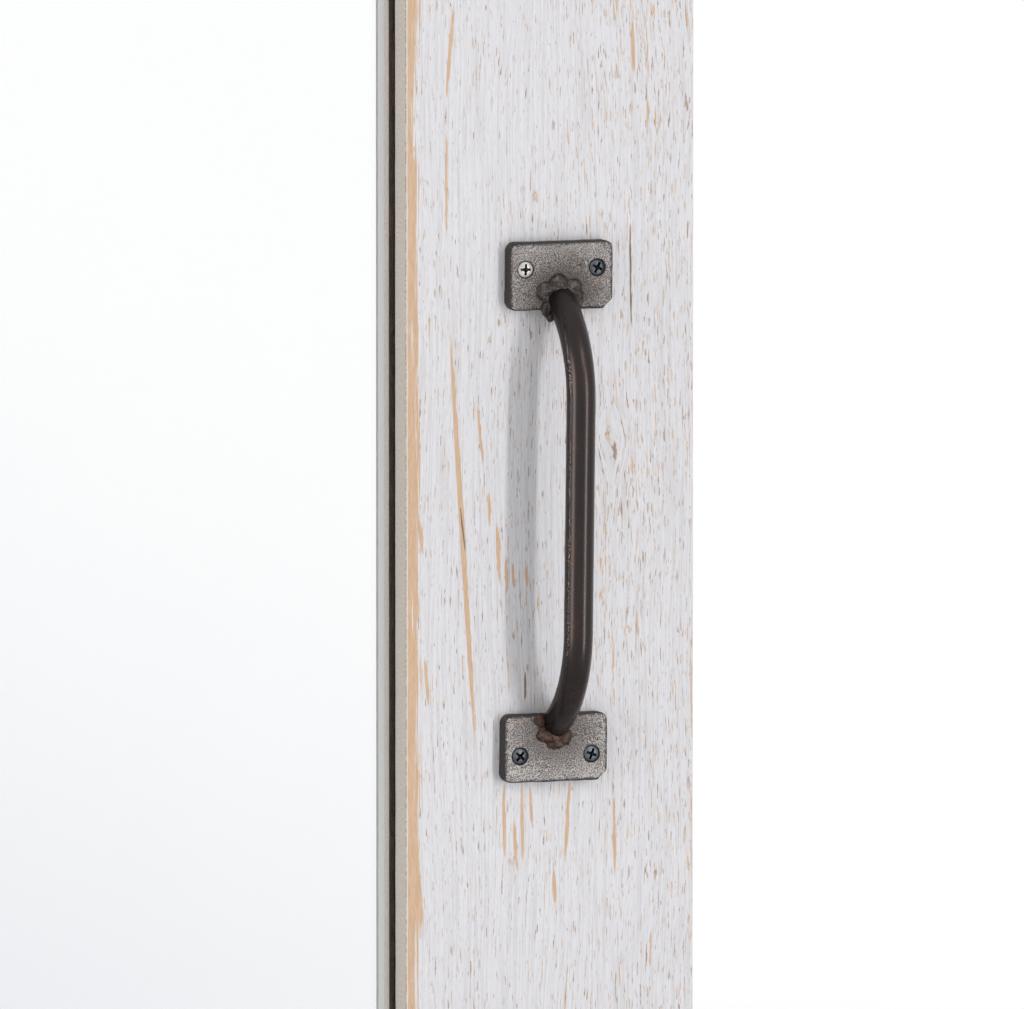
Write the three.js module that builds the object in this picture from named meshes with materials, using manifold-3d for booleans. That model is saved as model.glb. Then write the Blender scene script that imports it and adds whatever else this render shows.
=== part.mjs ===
// A wall mirror with two sliding plank shutters, hung barn-door fashion on a flat iron rail.
// Millimetres, +Z up. X runs along the wall, the front faces -Y and the wall is the plane Y = 0.
// The origin lies on the wall, midway between the two keyhole plates that carry the mirror.

import * as THREE from "three";
import { mergeVertices } from "three/addons/utils/BufferGeometryUtils.js";
import Module from "manifold-3d";

const wasm = await Module();
wasm.setup();

// ---------------------------------------------------------------- driving dimensions

const SEAT = 0.3; // air left between two pieces that touch
const OVERCUT = 1; // how far a cutting tool runs past the face it cuts
const SHUTTER = { width: 126, height: 700, thickness: 12.7, arris: 1.2 };
const RUN_GAP = 1.0; // between the mirror's face and the back of a shutter
const SHUTTER_FLOOR = 3; // from the channel's web up to a shutter
const MEETING_GAP = 1.0; // between the two shutters when they are closed

const FRAME = { thickness: 18, topRail: 95, bottomRail: 55, lip: 10, arris: 1.0, headroom: 10 };
const GLASS = { thickness: 4, clearance: 0.5, toBacking: 1 };
const FOAM = { thickness: 0.8, inset: 18, offGlass: 0.1 };
const BACKING = { thickness: 6 };
const TENON = { thickness: 8, shoulder: 10, offRebate: 8, reach: 24 };

const RAIL = { height: 26, thickness: 5, aboveShutter: 8, overhang: 10 };
const RAIL_BOLT = { shank: 3, head: 6.5, headHeight: 2.4, depth: 13, point: 4, spacer: 7.5 };
const RAIL_BOLT_INSET = 26; // from the side of the frame to an outer bolt
const WHEEL = { tread: 14, rim: 18, width: 9, groove: 5.6, bore: 3.2, hub: 6, web: 6.2, webRim: 12.5 };
const WHEEL_HOLES = { count: 5, radius: 2.3, circle: 9.2 };
const AXLE = { slack: 0.2, head: 7, headHeight: 3.1, collar: 4.8, play: 0.3, tail: 5, tailHeight: 1.2 };
const STRAP = { width: 26, thickness: 3, drop: 94, offset: 38, clip: 6, edge: 0.5 };
const STRAP_SCREW = { shank: 2, acrossFlats: 8, taper: 0.5, headHeight: 3, depth: 9, point: 3 };
const STRAP_SCREW_PLACES = { lower: 14, upper: 76 }; // up from the foot of the strap
const STOP = { wheelGap: 0.5, cheek: 2.4, depthBelow: 5, above: 20, corner: 4 };

const CHANNEL = { thickness: 2, lip: 14, clearance: 1.6, chamfer: 1.5 };
const CHANNEL_SCREW = { shank: 1.5, head: 3, length: 14, point: 3, inset: 30 };
const HANGER = { width: 22, height: 46, thickness: 1.6, corner: 3, sunk: 0.1 };
const KEYHOLE = { entry: 5.5, slot: 2.4, rise: 12, pocket: 10, room: 1.5 };
const HANGER_INSET = 52; // from the side of the frame to a keyhole plate
const HANG_LINE = 720; // height of the keyholes above the frame's lower edge

const HANDLE = { bar: 6, standoff: 22.3, bendRadius: 45, rootSpacing: 172, lead: 4, aside: 1.2, lean: 0.7 };
const PLATE = { width: 45.4, height: 28, thickness: 6, clip: 4.2, pitch: 193, edge: 0.8 };
const PLATE_HOLE = { slack: 0.5, sink: 2.2, sunk: 0.3 };
const PLATE_SCREW = { head: 3.35, crown: 0.5, cone: 1.9, shank: 1.6, length: 15, point: 3 };
const PLATE_SCREW_PLACE = { spread: 15.7, offset: 3 };
const CROSS = { arm: 1.95, half: 0.55, depth: 1 };
const WELD = { beads: 6, size: 3.3, swell: 0.18, reach: 0.8, mound: [8.4, 4.2, 5] };

// ---------------------------------------------------------------- derived places

const frameWidth = 4 * SHUTTER.width;
const shutterBottom = SHUTTER_FLOOR;
const shutterTop = shutterBottom + SHUTTER.height;
const shutterCentre = (shutterBottom + shutterTop) / 2;
const openCentre = 1.5 * SHUTTER.width;
const closedCentre = (SHUTTER.width + MEETING_GAP) / 2;

const frameFront = -FRAME.thickness;
const shutterBack = frameFront - RUN_GAP;
const shutterFront = shutterBack - SHUTTER.thickness;
const shutterMiddle = (shutterBack + shutterFront) / 2;

const openingHalfWidth = SHUTTER.width + GLASS.clearance;
const rebateHalfWidth = openingHalfWidth + FRAME.lip;
const rebateBottom = FRAME.bottomRail - FRAME.lip;

const railBottom = shutterTop + RAIL.aboveShutter;
const railTop = railBottom + RAIL.height;
const railMiddle = (railBottom + railTop) / 2;
const railHalfLength = frameWidth / 2 + RAIL.overhang;
const railBack = shutterMiddle + RAIL.thickness / 2;
const railFront = shutterMiddle - RAIL.thickness / 2;
const axleHeight = railTop + WHEEL.tread + SEAT;
const frameHeight = Math.ceil((axleHeight + WHEEL.rim + FRAME.headroom) / 5) * 5;
const rebateTop = frameHeight - FRAME.topRail + FRAME.lip;

const strapBack = shutterFront - SEAT;
const strapFront = strapBack - STRAP.thickness;
const plateFront = shutterFront - SEAT - PLATE.thickness;
const barMiddle = plateFront - HANDLE.standoff;

// ---------------------------------------------------------------- materials

function finish(colour, roughness, metalness) {
  return new THREE.MeshStandardMaterial({ color: colour, roughness, metalness });
}

const whitewash = finish(0xe0ddda, 0.75, 0);
const looking = finish(0xf2f5f4, 0.03, 1);
const fibreboard = finish(0x9a744c, 0.85, 0);
const foam = finish(0xf0efe8, 0.95, 0);
const beech = finish(0xc8a070, 0.7, 0);
const darkIron = finish(0x3a3534, 0.5, 0.9);
const wornIron = finish(0x7d7470, 0.55, 0.9);
const blackScrew = finish(0x26292c, 0.4, 0.9);
const blackNylon = finish(0x1c1b1b, 0.55, 0);
const zinc = finish(0xb9bcbf, 0.35, 1);

// ---------------------------------------------------------------- making solids

// A closed geometry as a solid. Corners that coincide are joined and empty triangles dropped.
function solid(geometry) {
  const loose = geometry.index ? geometry.toNonIndexed() : geometry;
  const bare = new THREE.BufferGeometry().setAttribute("position", loose.getAttribute("position"));
  const merged = mergeVertices(bare, 1e-4);
  const corners = merged.index.array;
  const kept = [];
  for (let i = 0; i < corners.length; i += 3) {
    const [a, b, c] = corners.slice(i, i + 3);
    if (a !== b && b !== c && c !== a) kept.push(a, b, c);
  }
  return new wasm.Manifold(
    new wasm.Mesh({
      numProp: 3,
      vertProperties: merged.attributes.position.array,
      triVerts: new Uint32Array(kept),
    }),
  );
}

function geometryOf(body) {
  const mesh = body.getMesh();
  const points = new Float32Array(mesh.numVert * 3);
  for (let i = 0; i < mesh.numVert; i++) {
    points.set(mesh.vertProperties.subarray(i * mesh.numProp, i * mesh.numProp + 3), i * 3);
  }
  const geometry = new THREE.BufferGeometry()
    .setAttribute("position", new THREE.BufferAttribute(points, 3))
    .setIndex(new THREE.BufferAttribute(mesh.triVerts, 1))
    .toNonIndexed();
  geometry.computeVertexNormals();
  return geometry;
}

const cut = (body, tools) => tools.reduce((left, tool) => left.subtract(tool), body);
const join = (bodies) => bodies.reduce((all, body) => all.add(body));

function block(x, y, z) {
  const size = [x[1] - x[0], y[1] - y[0], z[1] - z[0]];
  const middle = [x, y, z].map(([low, high]) => (low + high) / 2);
  return solid(new THREE.BoxGeometry(...size).translate(...middle));
}

// A round pin along Y.
function pin(radius, y, x = 0, z = 0, sides = 16) {
  const geometry = new THREE.CylinderGeometry(radius, radius, y[1] - y[0], sides);
  return solid(geometry.translate(x, (y[0] + y[1]) / 2, z));
}

// An outline drawn in X and Z, extruded from the plane y towards the viewer.
function sheetFrom(outline, y, thickness, bevel = 0) {
  const geometry = new THREE.ExtrudeGeometry(outline, {
    depth: thickness - bevel,
    bevelEnabled: false,
    curveSegments: 5,
  });
  const sheet = solid(geometry.rotateX(Math.PI / 2).translate(0, y, 0));
  if (!bevel) return sheet;
  const face = new THREE.ExtrudeGeometry(outline, {
    depth: 0.01,
    bevelThickness: bevel,
    bevelSize: bevel,
    bevelOffset: -bevel,
    bevelSegments: 1,
    curveSegments: 5,
  });
  return sheet.add(solid(face.rotateX(Math.PI / 2).translate(0, y - thickness + bevel, 0)));
}

// A profile of [radius, y] points turned about the Y axis.
function turned(profile, sides) {
  const points = profile.map(([radius, y]) => new THREE.Vector2(radius, y));
  const body = solid(new THREE.LatheGeometry(points, sides));
  return body.volume() > 0 ? body : solid(new THREE.LatheGeometry(points.reverse(), sides));
}

// A rectangle about the origin with its corners clipped.
function clippedRectangle(width, height, clip) {
  const x = width / 2;
  const y = height / 2;
  const outline = new THREE.Shape();
  outline.moveTo(-x + clip, -y);
  outline.lineTo(x - clip, -y);
  outline.quadraticCurveTo(x - clip * 0.35, -y + clip * 0.35, x, -y + clip);
  outline.lineTo(x, y - clip);
  outline.quadraticCurveTo(x - clip * 0.35, y - clip * 0.35, x - clip, y);
  outline.lineTo(-x + clip, y);
  outline.quadraticCurveTo(-x + clip * 0.35, y - clip * 0.35, -x, y - clip);
  outline.lineTo(-x, -y + clip);
  outline.quadraticCurveTo(-x + clip * 0.35, -y + clip * 0.35, -x + clip, -y);
  return outline;
}

// A board that stands along Z, with its four long arrises eased.
function board(x, y, z, arris) {
  const outline = new THREE.Shape();
  outline.moveTo(x[0] + arris, y[0]);
  outline.lineTo(x[1] - arris, y[0]);
  outline.lineTo(x[1], y[0] + arris);
  outline.lineTo(x[1], y[1] - arris);
  outline.lineTo(x[1] - arris, y[1]);
  outline.lineTo(x[0] + arris, y[1]);
  outline.lineTo(x[0], y[1] - arris);
  outline.lineTo(x[0], y[0] + arris);
  const geometry = new THREE.ExtrudeGeometry(outline, { depth: z[1] - z[0], bevelEnabled: false });
  return solid(geometry.translate(0, 0, z[0]));
}

const root = new THREE.Group();
root.position.z = -HANG_LINE;

function piece(parent, name, body, material, x = 0, y = 0, z = 0) {
  const mesh = new THREE.Mesh(geometryOf(body), material);
  mesh.name = name;
  mesh.position.set(x, y, z);
  parent.add(mesh);
  return mesh;
}

// ---------------------------------------------------------------- frame

const sides = { left: -1, right: 1 };
const rails = {
  bottom: {
    z: [0, FRAME.bottomRail],
    tenon: [TENON.shoulder, rebateBottom - TENON.offRebate],
  },
  top: {
    z: [frameHeight - FRAME.topRail, frameHeight],
    tenon: [rebateTop + TENON.offRebate, frameHeight - TENON.shoulder],
  },
};

// A rail's tenon, or with some slack the mortise that a stile has for it. Both run behind the rebate.
function tenon(height, slack) {
  const reach = openingHalfWidth + TENON.reach + slack;
  const half = TENON.thickness / 2 + slack;
  return block(
    [-reach, reach],
    [frameFront / 2 - half, frameFront / 2 + half],
    [height[0] - slack, height[1] + slack],
  );
}

const mortises = Object.values(rails).map((rail) => tenon(rail.tenon, SEAT));

// The rebate, open to the front, that takes the backing board, the foam and the glass.
const rebate = block(
  [-rebateHalfWidth, rebateHalfWidth],
  [frameFront - OVERCUT, frameFront + GLASS.thickness + GLASS.toBacking + BACKING.thickness],
  [rebateBottom, rebateTop],
);

// Places in the middle and at one inset from each side of the frame.
function threePlaces(inset) {
  const outer = frameWidth / 2 - inset;
  return { left: -outer, middle: 0, right: outer };
}

const boltPlaces = threePlaces(RAIL_BOLT_INSET);
const boltHoles = Object.values(boltPlaces).map((x) => {
  const depth = [frameFront - OVERCUT, frameFront + RAIL_BOLT.depth + SEAT];
  return pin(RAIL_BOLT.shank + SEAT, depth, x, railMiddle, 12);
});

const channelScrewPlaces = threePlaces(CHANNEL_SCREW.inset);
const channelScrewHoles = Object.values(channelScrewPlaces).map((x) => {
  const hole = pin(CHANNEL_SCREW.shank + SEAT, [-OVERCUT, CHANNEL_SCREW.length], x, 0, 10);
  return hole.rotate([90, 0, 0]).translate([0, frameFront / 2, 0]);
});

// The pocket behind a keyhole plate: a seat for the plate and a deeper room for the screw's head.
function hangerPocket(x) {
  const z = HANG_LINE;
  const seat = block(
    [x - HANGER.width / 2 - SEAT, x + HANGER.width / 2 + SEAT],
    [-HANGER.thickness - SEAT, OVERCUT],
    [z - HANGER.height / 2 - SEAT, z + HANGER.height / 2 + SEAT],
  );
  const halfRoom = KEYHOLE.entry + KEYHOLE.room;
  return seat.add(
    block([x - halfRoom, x + halfRoom], [-KEYHOLE.pocket, 0], [z - KEYHOLE.rise - halfRoom, z + halfRoom]),
  );
}

for (const [name, side] of Object.entries(sides)) {
  const x = [side * openingHalfWidth, (side * frameWidth) / 2].sort((a, b) => a - b);
  const hangerX = side * (frameWidth / 2 - HANGER_INSET);
  const stile = board(x, [frameFront, 0], [0, frameHeight], FRAME.arris);
  const joinery = [rebate, hangerPocket(hangerX), ...boltHoles, ...channelScrewHoles, ...mortises];
  piece(root, `${name}_stile`, cut(stile, joinery), whitewash);
}

for (const [name, rail] of Object.entries(rails)) {
  const x = openingHalfWidth - SEAT;
  const plank = block([-x, x], [frameFront, 0], rail.z).add(tenon(rail.tenon, 0));
  piece(root, `${name}_rail`, cut(plank, [rebate, ...boltHoles, ...channelScrewHoles]), whitewash);
}

// ---------------------------------------------------------------- mirror

const sheetHalfWidth = rebateHalfWidth - GLASS.clearance;
const sheetHeights = [rebateBottom + GLASS.clearance, rebateTop - GLASS.clearance];
const glassBack = frameFront + GLASS.thickness;
const foamDepth = [glassBack + FOAM.offGlass, glassBack + FOAM.offGlass + FOAM.thickness];
const backingDepth = [glassBack + GLASS.toBacking, glassBack + GLASS.toBacking + BACKING.thickness - SEAT];

piece(
  root,
  "mirror_glass",
  block([-sheetHalfWidth, sheetHalfWidth], [frameFront, glassBack], sheetHeights),
  looking,
);
piece(
  root,
  "foam_pad",
  block(
    [-sheetHalfWidth + FOAM.inset, sheetHalfWidth - FOAM.inset],
    foamDepth,
    [sheetHeights[0] + FOAM.inset, sheetHeights[1] - FOAM.inset],
  ),
  foam,
);
piece(
  root,
  "backing_board",
  block([-sheetHalfWidth, sheetHalfWidth], backingDepth, sheetHeights),
  fibreboard,
);

// ---------------------------------------------------------------- keyhole plates

// The entry hole lies below, and the slot runs up from it to the screw's resting place.
function keyholePlate() {
  const plate = clippedRectangle(HANGER.width, HANGER.height, HANGER.corner);
  const keyhole = new THREE.Path();
  const shoulder = Math.asin(KEYHOLE.slot / KEYHOLE.entry);
  keyhole.absarc(0, -KEYHOLE.rise, KEYHOLE.entry, Math.PI / 2 - shoulder, Math.PI / 2 + shoulder, true);
  keyhole.absarc(0, 0, KEYHOLE.slot, Math.PI, 0, true);
  plate.holes.push(keyhole);
  return sheetFrom(plate, -HANGER.sunk, HANGER.thickness);
}

for (const [name, side] of Object.entries(sides)) {
  const x = side * (frameWidth / 2 - HANGER_INSET);
  piece(root, `${name}_keyhole_plate`, keyholePlate(), zinc, x, 0, HANG_LINE);
}

// ---------------------------------------------------------------- rail, its bolts and its stops

const railHoles = Object.values(boltPlaces).map((x) =>
  pin(RAIL_BOLT.shank + SEAT, [railFront - OVERCUT, railBack + OVERCUT], x, railMiddle, 16),
);
const railBar = block([-railHalfLength, railHalfLength], [railFront, railBack], [railBottom, railTop]);
piece(root, "slide_rail", cut(railBar, railHoles), darkIron);

// A lag bolt with a low hexagonal head, seated on the front of the rail.
function railBolt() {
  const tip = frameFront + RAIL_BOLT.depth;
  const under = railFront - SEAT;
  const head = new THREE.CylinderGeometry(RAIL_BOLT.head, RAIL_BOLT.head, RAIL_BOLT.headHeight, 6);
  const insideHead = under - RAIL_BOLT.headHeight / 2;
  const shank = turned(
    [
      [0, insideHead],
      [RAIL_BOLT.shank, insideHead],
      [RAIL_BOLT.shank, tip - RAIL_BOLT.point],
      [0, tip],
    ],
    12,
  );
  return shank.add(solid(head.translate(0, under - RAIL_BOLT.headHeight / 2, 0)));
}

function railSpacer() {
  const ends = [frameFront - SEAT, railBack + SEAT];
  return turned(
    [
      [RAIL_BOLT.shank + SEAT, ends[0]],
      [RAIL_BOLT.spacer, ends[0]],
      [RAIL_BOLT.spacer, ends[1]],
      [RAIL_BOLT.shank + SEAT, ends[1]],
      [RAIL_BOLT.shank + SEAT, ends[0]],
    ],
    16,
  );
}

for (const [name, x] of Object.entries(boltPlaces)) {
  piece(root, `${name}_rail_bolt`, railBolt(), blackScrew, x, 0, railMiddle);
  piece(root, `${name}_rail_spacer`, railSpacer(), darkIron, x, 0, railMiddle);
}

// A saddle that sits astride the rail's upper edge, for a wheel's rim to meet. It is as wide as the room
// that the two inner wheels leave at the middle of the rail when the shutters are closed.
const stopHalf = closedCentre - STRAP.offset - WHEEL.rim - STOP.wheelGap;

function stop() {
  const half = stopHalf;
  const cheek = RAIL.thickness / 2 + STOP.cheek;
  const outline = new THREE.Shape();
  outline.moveTo(-half, -STOP.depthBelow);
  outline.lineTo(half, -STOP.depthBelow);
  outline.lineTo(half, STOP.above - STOP.corner);
  outline.quadraticCurveTo(half, STOP.above, half - STOP.corner, STOP.above);
  outline.lineTo(-half + STOP.corner, STOP.above);
  outline.quadraticCurveTo(-half, STOP.above, -half, STOP.above - STOP.corner);
  const body = sheetFrom(outline, cheek, 2 * cheek);
  const slot = block(
    [-half - OVERCUT, half + OVERCUT],
    [-RAIL.thickness / 2 - SEAT, RAIL.thickness / 2 + SEAT],
    [-STOP.depthBelow - OVERCUT, SEAT],
  );
  return body.subtract(slot);
}

const endStopPlace = openCentre + STRAP.offset + WHEEL.rim + STOP.wheelGap + stopHalf;
piece(root, "left_end_stop", stop(), darkIron, -endStopPlace, shutterMiddle, railTop);
piece(root, "centre_stop", stop(), darkIron, 0, shutterMiddle, railTop);
piece(root, "right_end_stop", stop(), darkIron, endStopPlace, shutterMiddle, railTop);

// ---------------------------------------------------------------- channel under the shutters

const channelFront = shutterFront - CHANNEL.clearance - CHANNEL.thickness;
const channelOutline = new THREE.Shape();
channelOutline.moveTo(-SEAT, -CHANNEL.thickness);
channelOutline.lineTo(-SEAT, 0);
channelOutline.lineTo(channelFront + CHANNEL.thickness, 0);
channelOutline.lineTo(channelFront + CHANNEL.thickness, CHANNEL.lip);
channelOutline.lineTo(channelFront, CHANNEL.lip);
channelOutline.lineTo(channelFront, -CHANNEL.thickness + CHANNEL.chamfer);
channelOutline.lineTo(channelFront + CHANNEL.chamfer, -CHANNEL.thickness);
const channelBar = new THREE.ExtrudeGeometry(channelOutline, { depth: frameWidth, bevelEnabled: false });
channelBar.rotateX(Math.PI / 2).rotateZ(Math.PI / 2).translate(-frameWidth / 2, 0, -SEAT);

// A countersunk screw about Y whose flat head lies at y = 0, and the hole that it needs in the channel.
function channelScrew(slack) {
  const { head, shank, length, point } = CHANNEL_SCREW;
  return turned(
    [
      [0, 0],
      [head + slack, 0],
      [shank + slack, head - shank],
      [shank + slack, length - point],
      [0, length],
    ],
    12,
  );
}

const channelFace = -SEAT - CHANNEL.thickness;
const sunkHoles = Object.values(channelScrewPlaces).map((x) =>
  channelScrew(SEAT).rotate([90, 0, 0]).translate([x, frameFront / 2, channelFace - 0.01]),
);
piece(root, "bottom_channel", cut(solid(channelBar), sunkHoles), darkIron);
for (const [name, x] of Object.entries(channelScrewPlaces)) {
  const screw = channelScrew(0).rotate([90, 0, 0]);
  piece(root, `${name}_channel_screw`, screw, blackScrew, x, frameFront / 2, channelFace);
}

// ---------------------------------------------------------------- handle

// The bar's centre line: an arc off the upper plate, a straight grip, and an arc back to the lower plate.
class BowedBar extends THREE.Curve {
  constructor() {
    super();
    this.turn = Math.acos(1 - HANDLE.standoff / HANDLE.bendRadius);
    this.grip = HANDLE.rootSpacing / 2 - HANDLE.bendRadius * Math.sin(this.turn);
    this.arc = HANDLE.bendRadius * this.turn;
    this.length = 2 * (HANDLE.lead + this.arc + this.grip);
  }

  getPoint(t, target = new THREE.Vector3()) {
    const along = (t - 0.5) * this.length;
    const reach = Math.abs(along);
    const angle = Math.min(Math.max(reach - this.grip, 0) / HANDLE.bendRadius, this.turn);
    const past = Math.max(reach - this.grip - this.arc, 0);
    const z = Math.min(reach, this.grip) + HANDLE.bendRadius * Math.sin(angle) + past * Math.cos(this.turn);
    const fall = HANDLE.bendRadius * (1 - Math.cos(angle)) + past * Math.sin(this.turn);
    return target.set(0, barMiddle + fall, -Math.sign(along) * z);
  }
}

// The weld round a bar's root: a ring of beads laid on the plate, and a mound where the bar leans away.
function weld(end) {
  const slant = 1 / Math.sin(new BowedBar().turn);
  const rootHeight = (end * HANDLE.rootSpacing) / 2;
  const mound = new THREE.IcosahedronGeometry(1, 1).scale(...WELD.mound);
  const beads = [solid(mound.translate(0, plateFront, rootHeight + end * (HANDLE.bar * slant - 1)))];
  for (let i = 0; i < WELD.beads; i++) {
    const angle = (2 * Math.PI * (i + 0.5)) / WELD.beads;
    const size = WELD.size * (1 + WELD.swell * Math.sin(3 * angle + end));
    const x = (HANDLE.bar + WELD.reach) * Math.cos(angle);
    const z = end * (HANDLE.bar * slant + WELD.reach) * Math.sin(angle);
    const bead = new THREE.IcosahedronGeometry(size, 1).scale(1.15, 0.8, 1.15);
    beads.push(solid(bead.translate(x, plateFront, rootHeight + z)));
  }
  return join(beads);
}

function handleBar() {
  const section = new THREE.Shape().absarc(0, 0, HANDLE.bar, 0, 2 * Math.PI);
  const bar = solid(
    new THREE.ExtrudeGeometry(section, { steps: 20, curveSegments: 8, extrudePath: new BowedBar() }),
  );
  const half = PLATE.pitch;
  const wall = block([-half, half], [plateFront - SEAT, OVERCUT], [-half, half]);
  return join([bar, weld(1), weld(-1)]).subtract(wall);
}

// A clipped iron plate with two countersunk holes, which lie away from the grip.
function handlePlate(end) {
  const outline = clippedRectangle(PLATE.width, PLATE.height, PLATE.clip);
  const plate = sheetFrom(outline, 0, PLATE.thickness, PLATE.edge);
  const bore = PLATE_SCREW.shank + PLATE_HOLE.slack;
  const mouth = PLATE_SCREW.head + SEAT;
  const holes = [-1, 1].map((side) => {
    const profile = [
      [0, OVERCUT],
      [bore, OVERCUT],
      [bore, -PLATE.thickness + PLATE_HOLE.sink],
      [mouth, -PLATE.thickness + PLATE_HOLE.sunk],
      [mouth, -PLATE.thickness - OVERCUT],
      [0, -PLATE.thickness - OVERCUT],
    ];
    return turned(profile, 12).translate([side * PLATE_SCREW_PLACE.spread, 0, end * PLATE_SCREW_PLACE.offset]);
  });
  return cut(plate, holes);
}

// A cross-recessed screw. Its head's rim lies at y = 0 and its shank runs into the board behind.
function handleScrew() {
  const { head, crown, cone, shank, length, point } = PLATE_SCREW;
  const body = turned(
    [
      [0, -crown],
      [head * 0.62, -crown * 0.8],
      [head, 0],
      [shank, cone],
      [shank, length - point],
      [0, length],
    ],
    10,
  );
  const depth = [-crown - OVERCUT, CROSS.depth];
  const arm = [-CROSS.arm, CROSS.arm];
  const slot = [-CROSS.half, CROSS.half];
  return body.subtract(block(arm, depth, slot).add(block(slot, depth, arm)));
}

// ---------------------------------------------------------------- hanger strap, wheel and axle

const axleAboveTop = axleHeight - shutterTop;
const strapScrewPlaces = Object.entries(STRAP_SCREW_PLACES).map(([name, up]) => [name, up - STRAP.drop]);

// A flat strap up the face of the shutter, round at the axle and clipped at its foot.
function strap() {
  const half = STRAP.width / 2;
  const outline = new THREE.Shape();
  outline.moveTo(-half + STRAP.clip, -STRAP.drop);
  outline.lineTo(half - STRAP.clip, -STRAP.drop);
  outline.lineTo(half, -STRAP.drop + STRAP.clip);
  outline.lineTo(half, axleAboveTop);
  outline.absarc(0, axleAboveTop, half, 0, Math.PI);
  outline.lineTo(-half, -STRAP.drop + STRAP.clip);
  const bar = sheetFrom(outline, 0, STRAP.thickness, STRAP.edge);
  const through = [-STRAP.thickness - OVERCUT, OVERCUT];
  const holes = strapScrewPlaces.map(([, z]) => pin(STRAP_SCREW.shank + SEAT, through, 0, z, 10));
  return cut(bar, [...holes, pin(WHEEL.bore, through, 0, axleAboveTop, 12)]);
}

function strapScrew() {
  const { shank, acrossFlats, taper, headHeight, depth, point } = STRAP_SCREW;
  const tip = STRAP.thickness + depth;
  const corner = acrossFlats / Math.sqrt(3);
  const insideHead = -SEAT - headHeight / 2;
  const head = new THREE.CylinderGeometry(corner - taper, corner, headHeight, 6);
  head.rotateX(Math.PI).translate(0, insideHead, 0);
  const stem = turned(
    [
      [0, insideHead],
      [shank, insideHead],
      [shank, tip - point],
      [0, tip],
    ],
    10,
  );
  return stem.add(solid(head));
}

// A grooved wheel with a hub, a thinner web pierced by round holes, and two flanges astride the rail.
function wheel() {
  const half = WHEEL.width / 2;
  const face = WHEEL.web / 2;
  const groove = WHEEL.groove / 2;
  const flank = groove + 0.6;
  const rim = turned(
    [
      [WHEEL.bore, -half],
      [WHEEL.hub, -half],
      [WHEEL.hub, -face],
      [WHEEL.webRim, -face],
      [WHEEL.webRim, -half],
      [WHEEL.rim, -half],
      [WHEEL.rim, -flank],
      [WHEEL.tread, -groove],
      [WHEEL.tread, groove],
      [WHEEL.rim, flank],
      [WHEEL.rim, half],
      [WHEEL.webRim, half],
      [WHEEL.webRim, face],
      [WHEEL.hub, face],
      [WHEEL.hub, half],
      [WHEEL.bore, half],
      [WHEEL.bore, -half],
    ],
    24,
  );
  const holes = [];
  for (let i = 0; i < WHEEL_HOLES.count; i++) {
    const angle = (2 * Math.PI * i) / WHEEL_HOLES.count;
    const x = WHEEL_HOLES.circle * Math.sin(angle);
    const z = WHEEL_HOLES.circle * Math.cos(angle);
    holes.push(pin(WHEEL_HOLES.radius, [-half - OVERCUT, half + OVERCUT], x, z, 8));
  }
  return cut(rim, holes);
}

// A shouldered rivet: a domed head on the strap, a shoulder that keeps the wheel off it, and a flat tail.
function axle() {
  const radius = WHEEL.bore - AXLE.slack;
  const wheelFront = shutterMiddle - WHEEL.width / 2 - AXLE.play;
  const wheelBack = shutterMiddle + WHEEL.width / 2 + AXLE.play;
  const headBack = strapFront - SEAT;
  return turned(
    [
      [0, headBack - AXLE.headHeight],
      [AXLE.head * 0.6, headBack - AXLE.headHeight * 0.85],
      [AXLE.head, headBack - AXLE.headHeight * 0.25],
      [AXLE.head, headBack],
      [radius, headBack],
      [radius, strapBack + SEAT],
      [AXLE.collar, strapBack + SEAT],
      [AXLE.collar, wheelFront],
      [radius, wheelFront],
      [radius, wheelBack],
      [AXLE.tail, wheelBack],
      [AXLE.tail, wheelBack + AXLE.tailHeight],
      [0, wheelBack + AXLE.tailHeight],
    ],
    12,
  );
}

// ---------------------------------------------------------------- shutter

const gripHeight = shutterCentre - shutterTop;
const handleLean = THREE.MathUtils.degToRad(HANDLE.lean);
const ends = { upper: 1, lower: -1 };
const plateScrewPlaces = new Map();
for (const [endName, end] of Object.entries(ends)) {
  for (const [sideName, side] of Object.entries(sides)) {
    const height = end * (PLATE.pitch / 2 + PLATE_SCREW_PLACE.offset);
    plateScrewPlaces.set(`${endName}_${sideName}`, [side * PLATE_SCREW_PLACE.spread, height]);
  }
}

// A shutter's own frame has X on its middle line and Z at its upper edge.
function shutterPanel(side) {
  const half = SHUTTER.width / 2;
  const plank = board([-half, half], [shutterFront, shutterBack], [-SHUTTER.height, 0], SHUTTER.arris);
  const bores = [];
  const strapBore = [shutterFront - OVERCUT, shutterFront + STRAP_SCREW.depth + 2 * SEAT];
  for (const x of [-STRAP.offset, STRAP.offset]) {
    for (const [, z] of strapScrewPlaces) bores.push(pin(STRAP_SCREW.shank + SEAT, strapBore, x, z, 10));
  }
  const plateBore = [shutterFront - OVERCUT, plateFront + PLATE_SCREW.length + SEAT];
  for (const [x, z] of plateScrewPlaces.values()) {
    const bore = pin(PLATE_SCREW.shank + SEAT, plateBore, x, z, 10);
    bores.push(bore.rotate([0, HANDLE.lean, 0]).translate([side * HANDLE.aside, 0, gripHeight]));
  }
  return cut(plank, bores);
}

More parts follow.
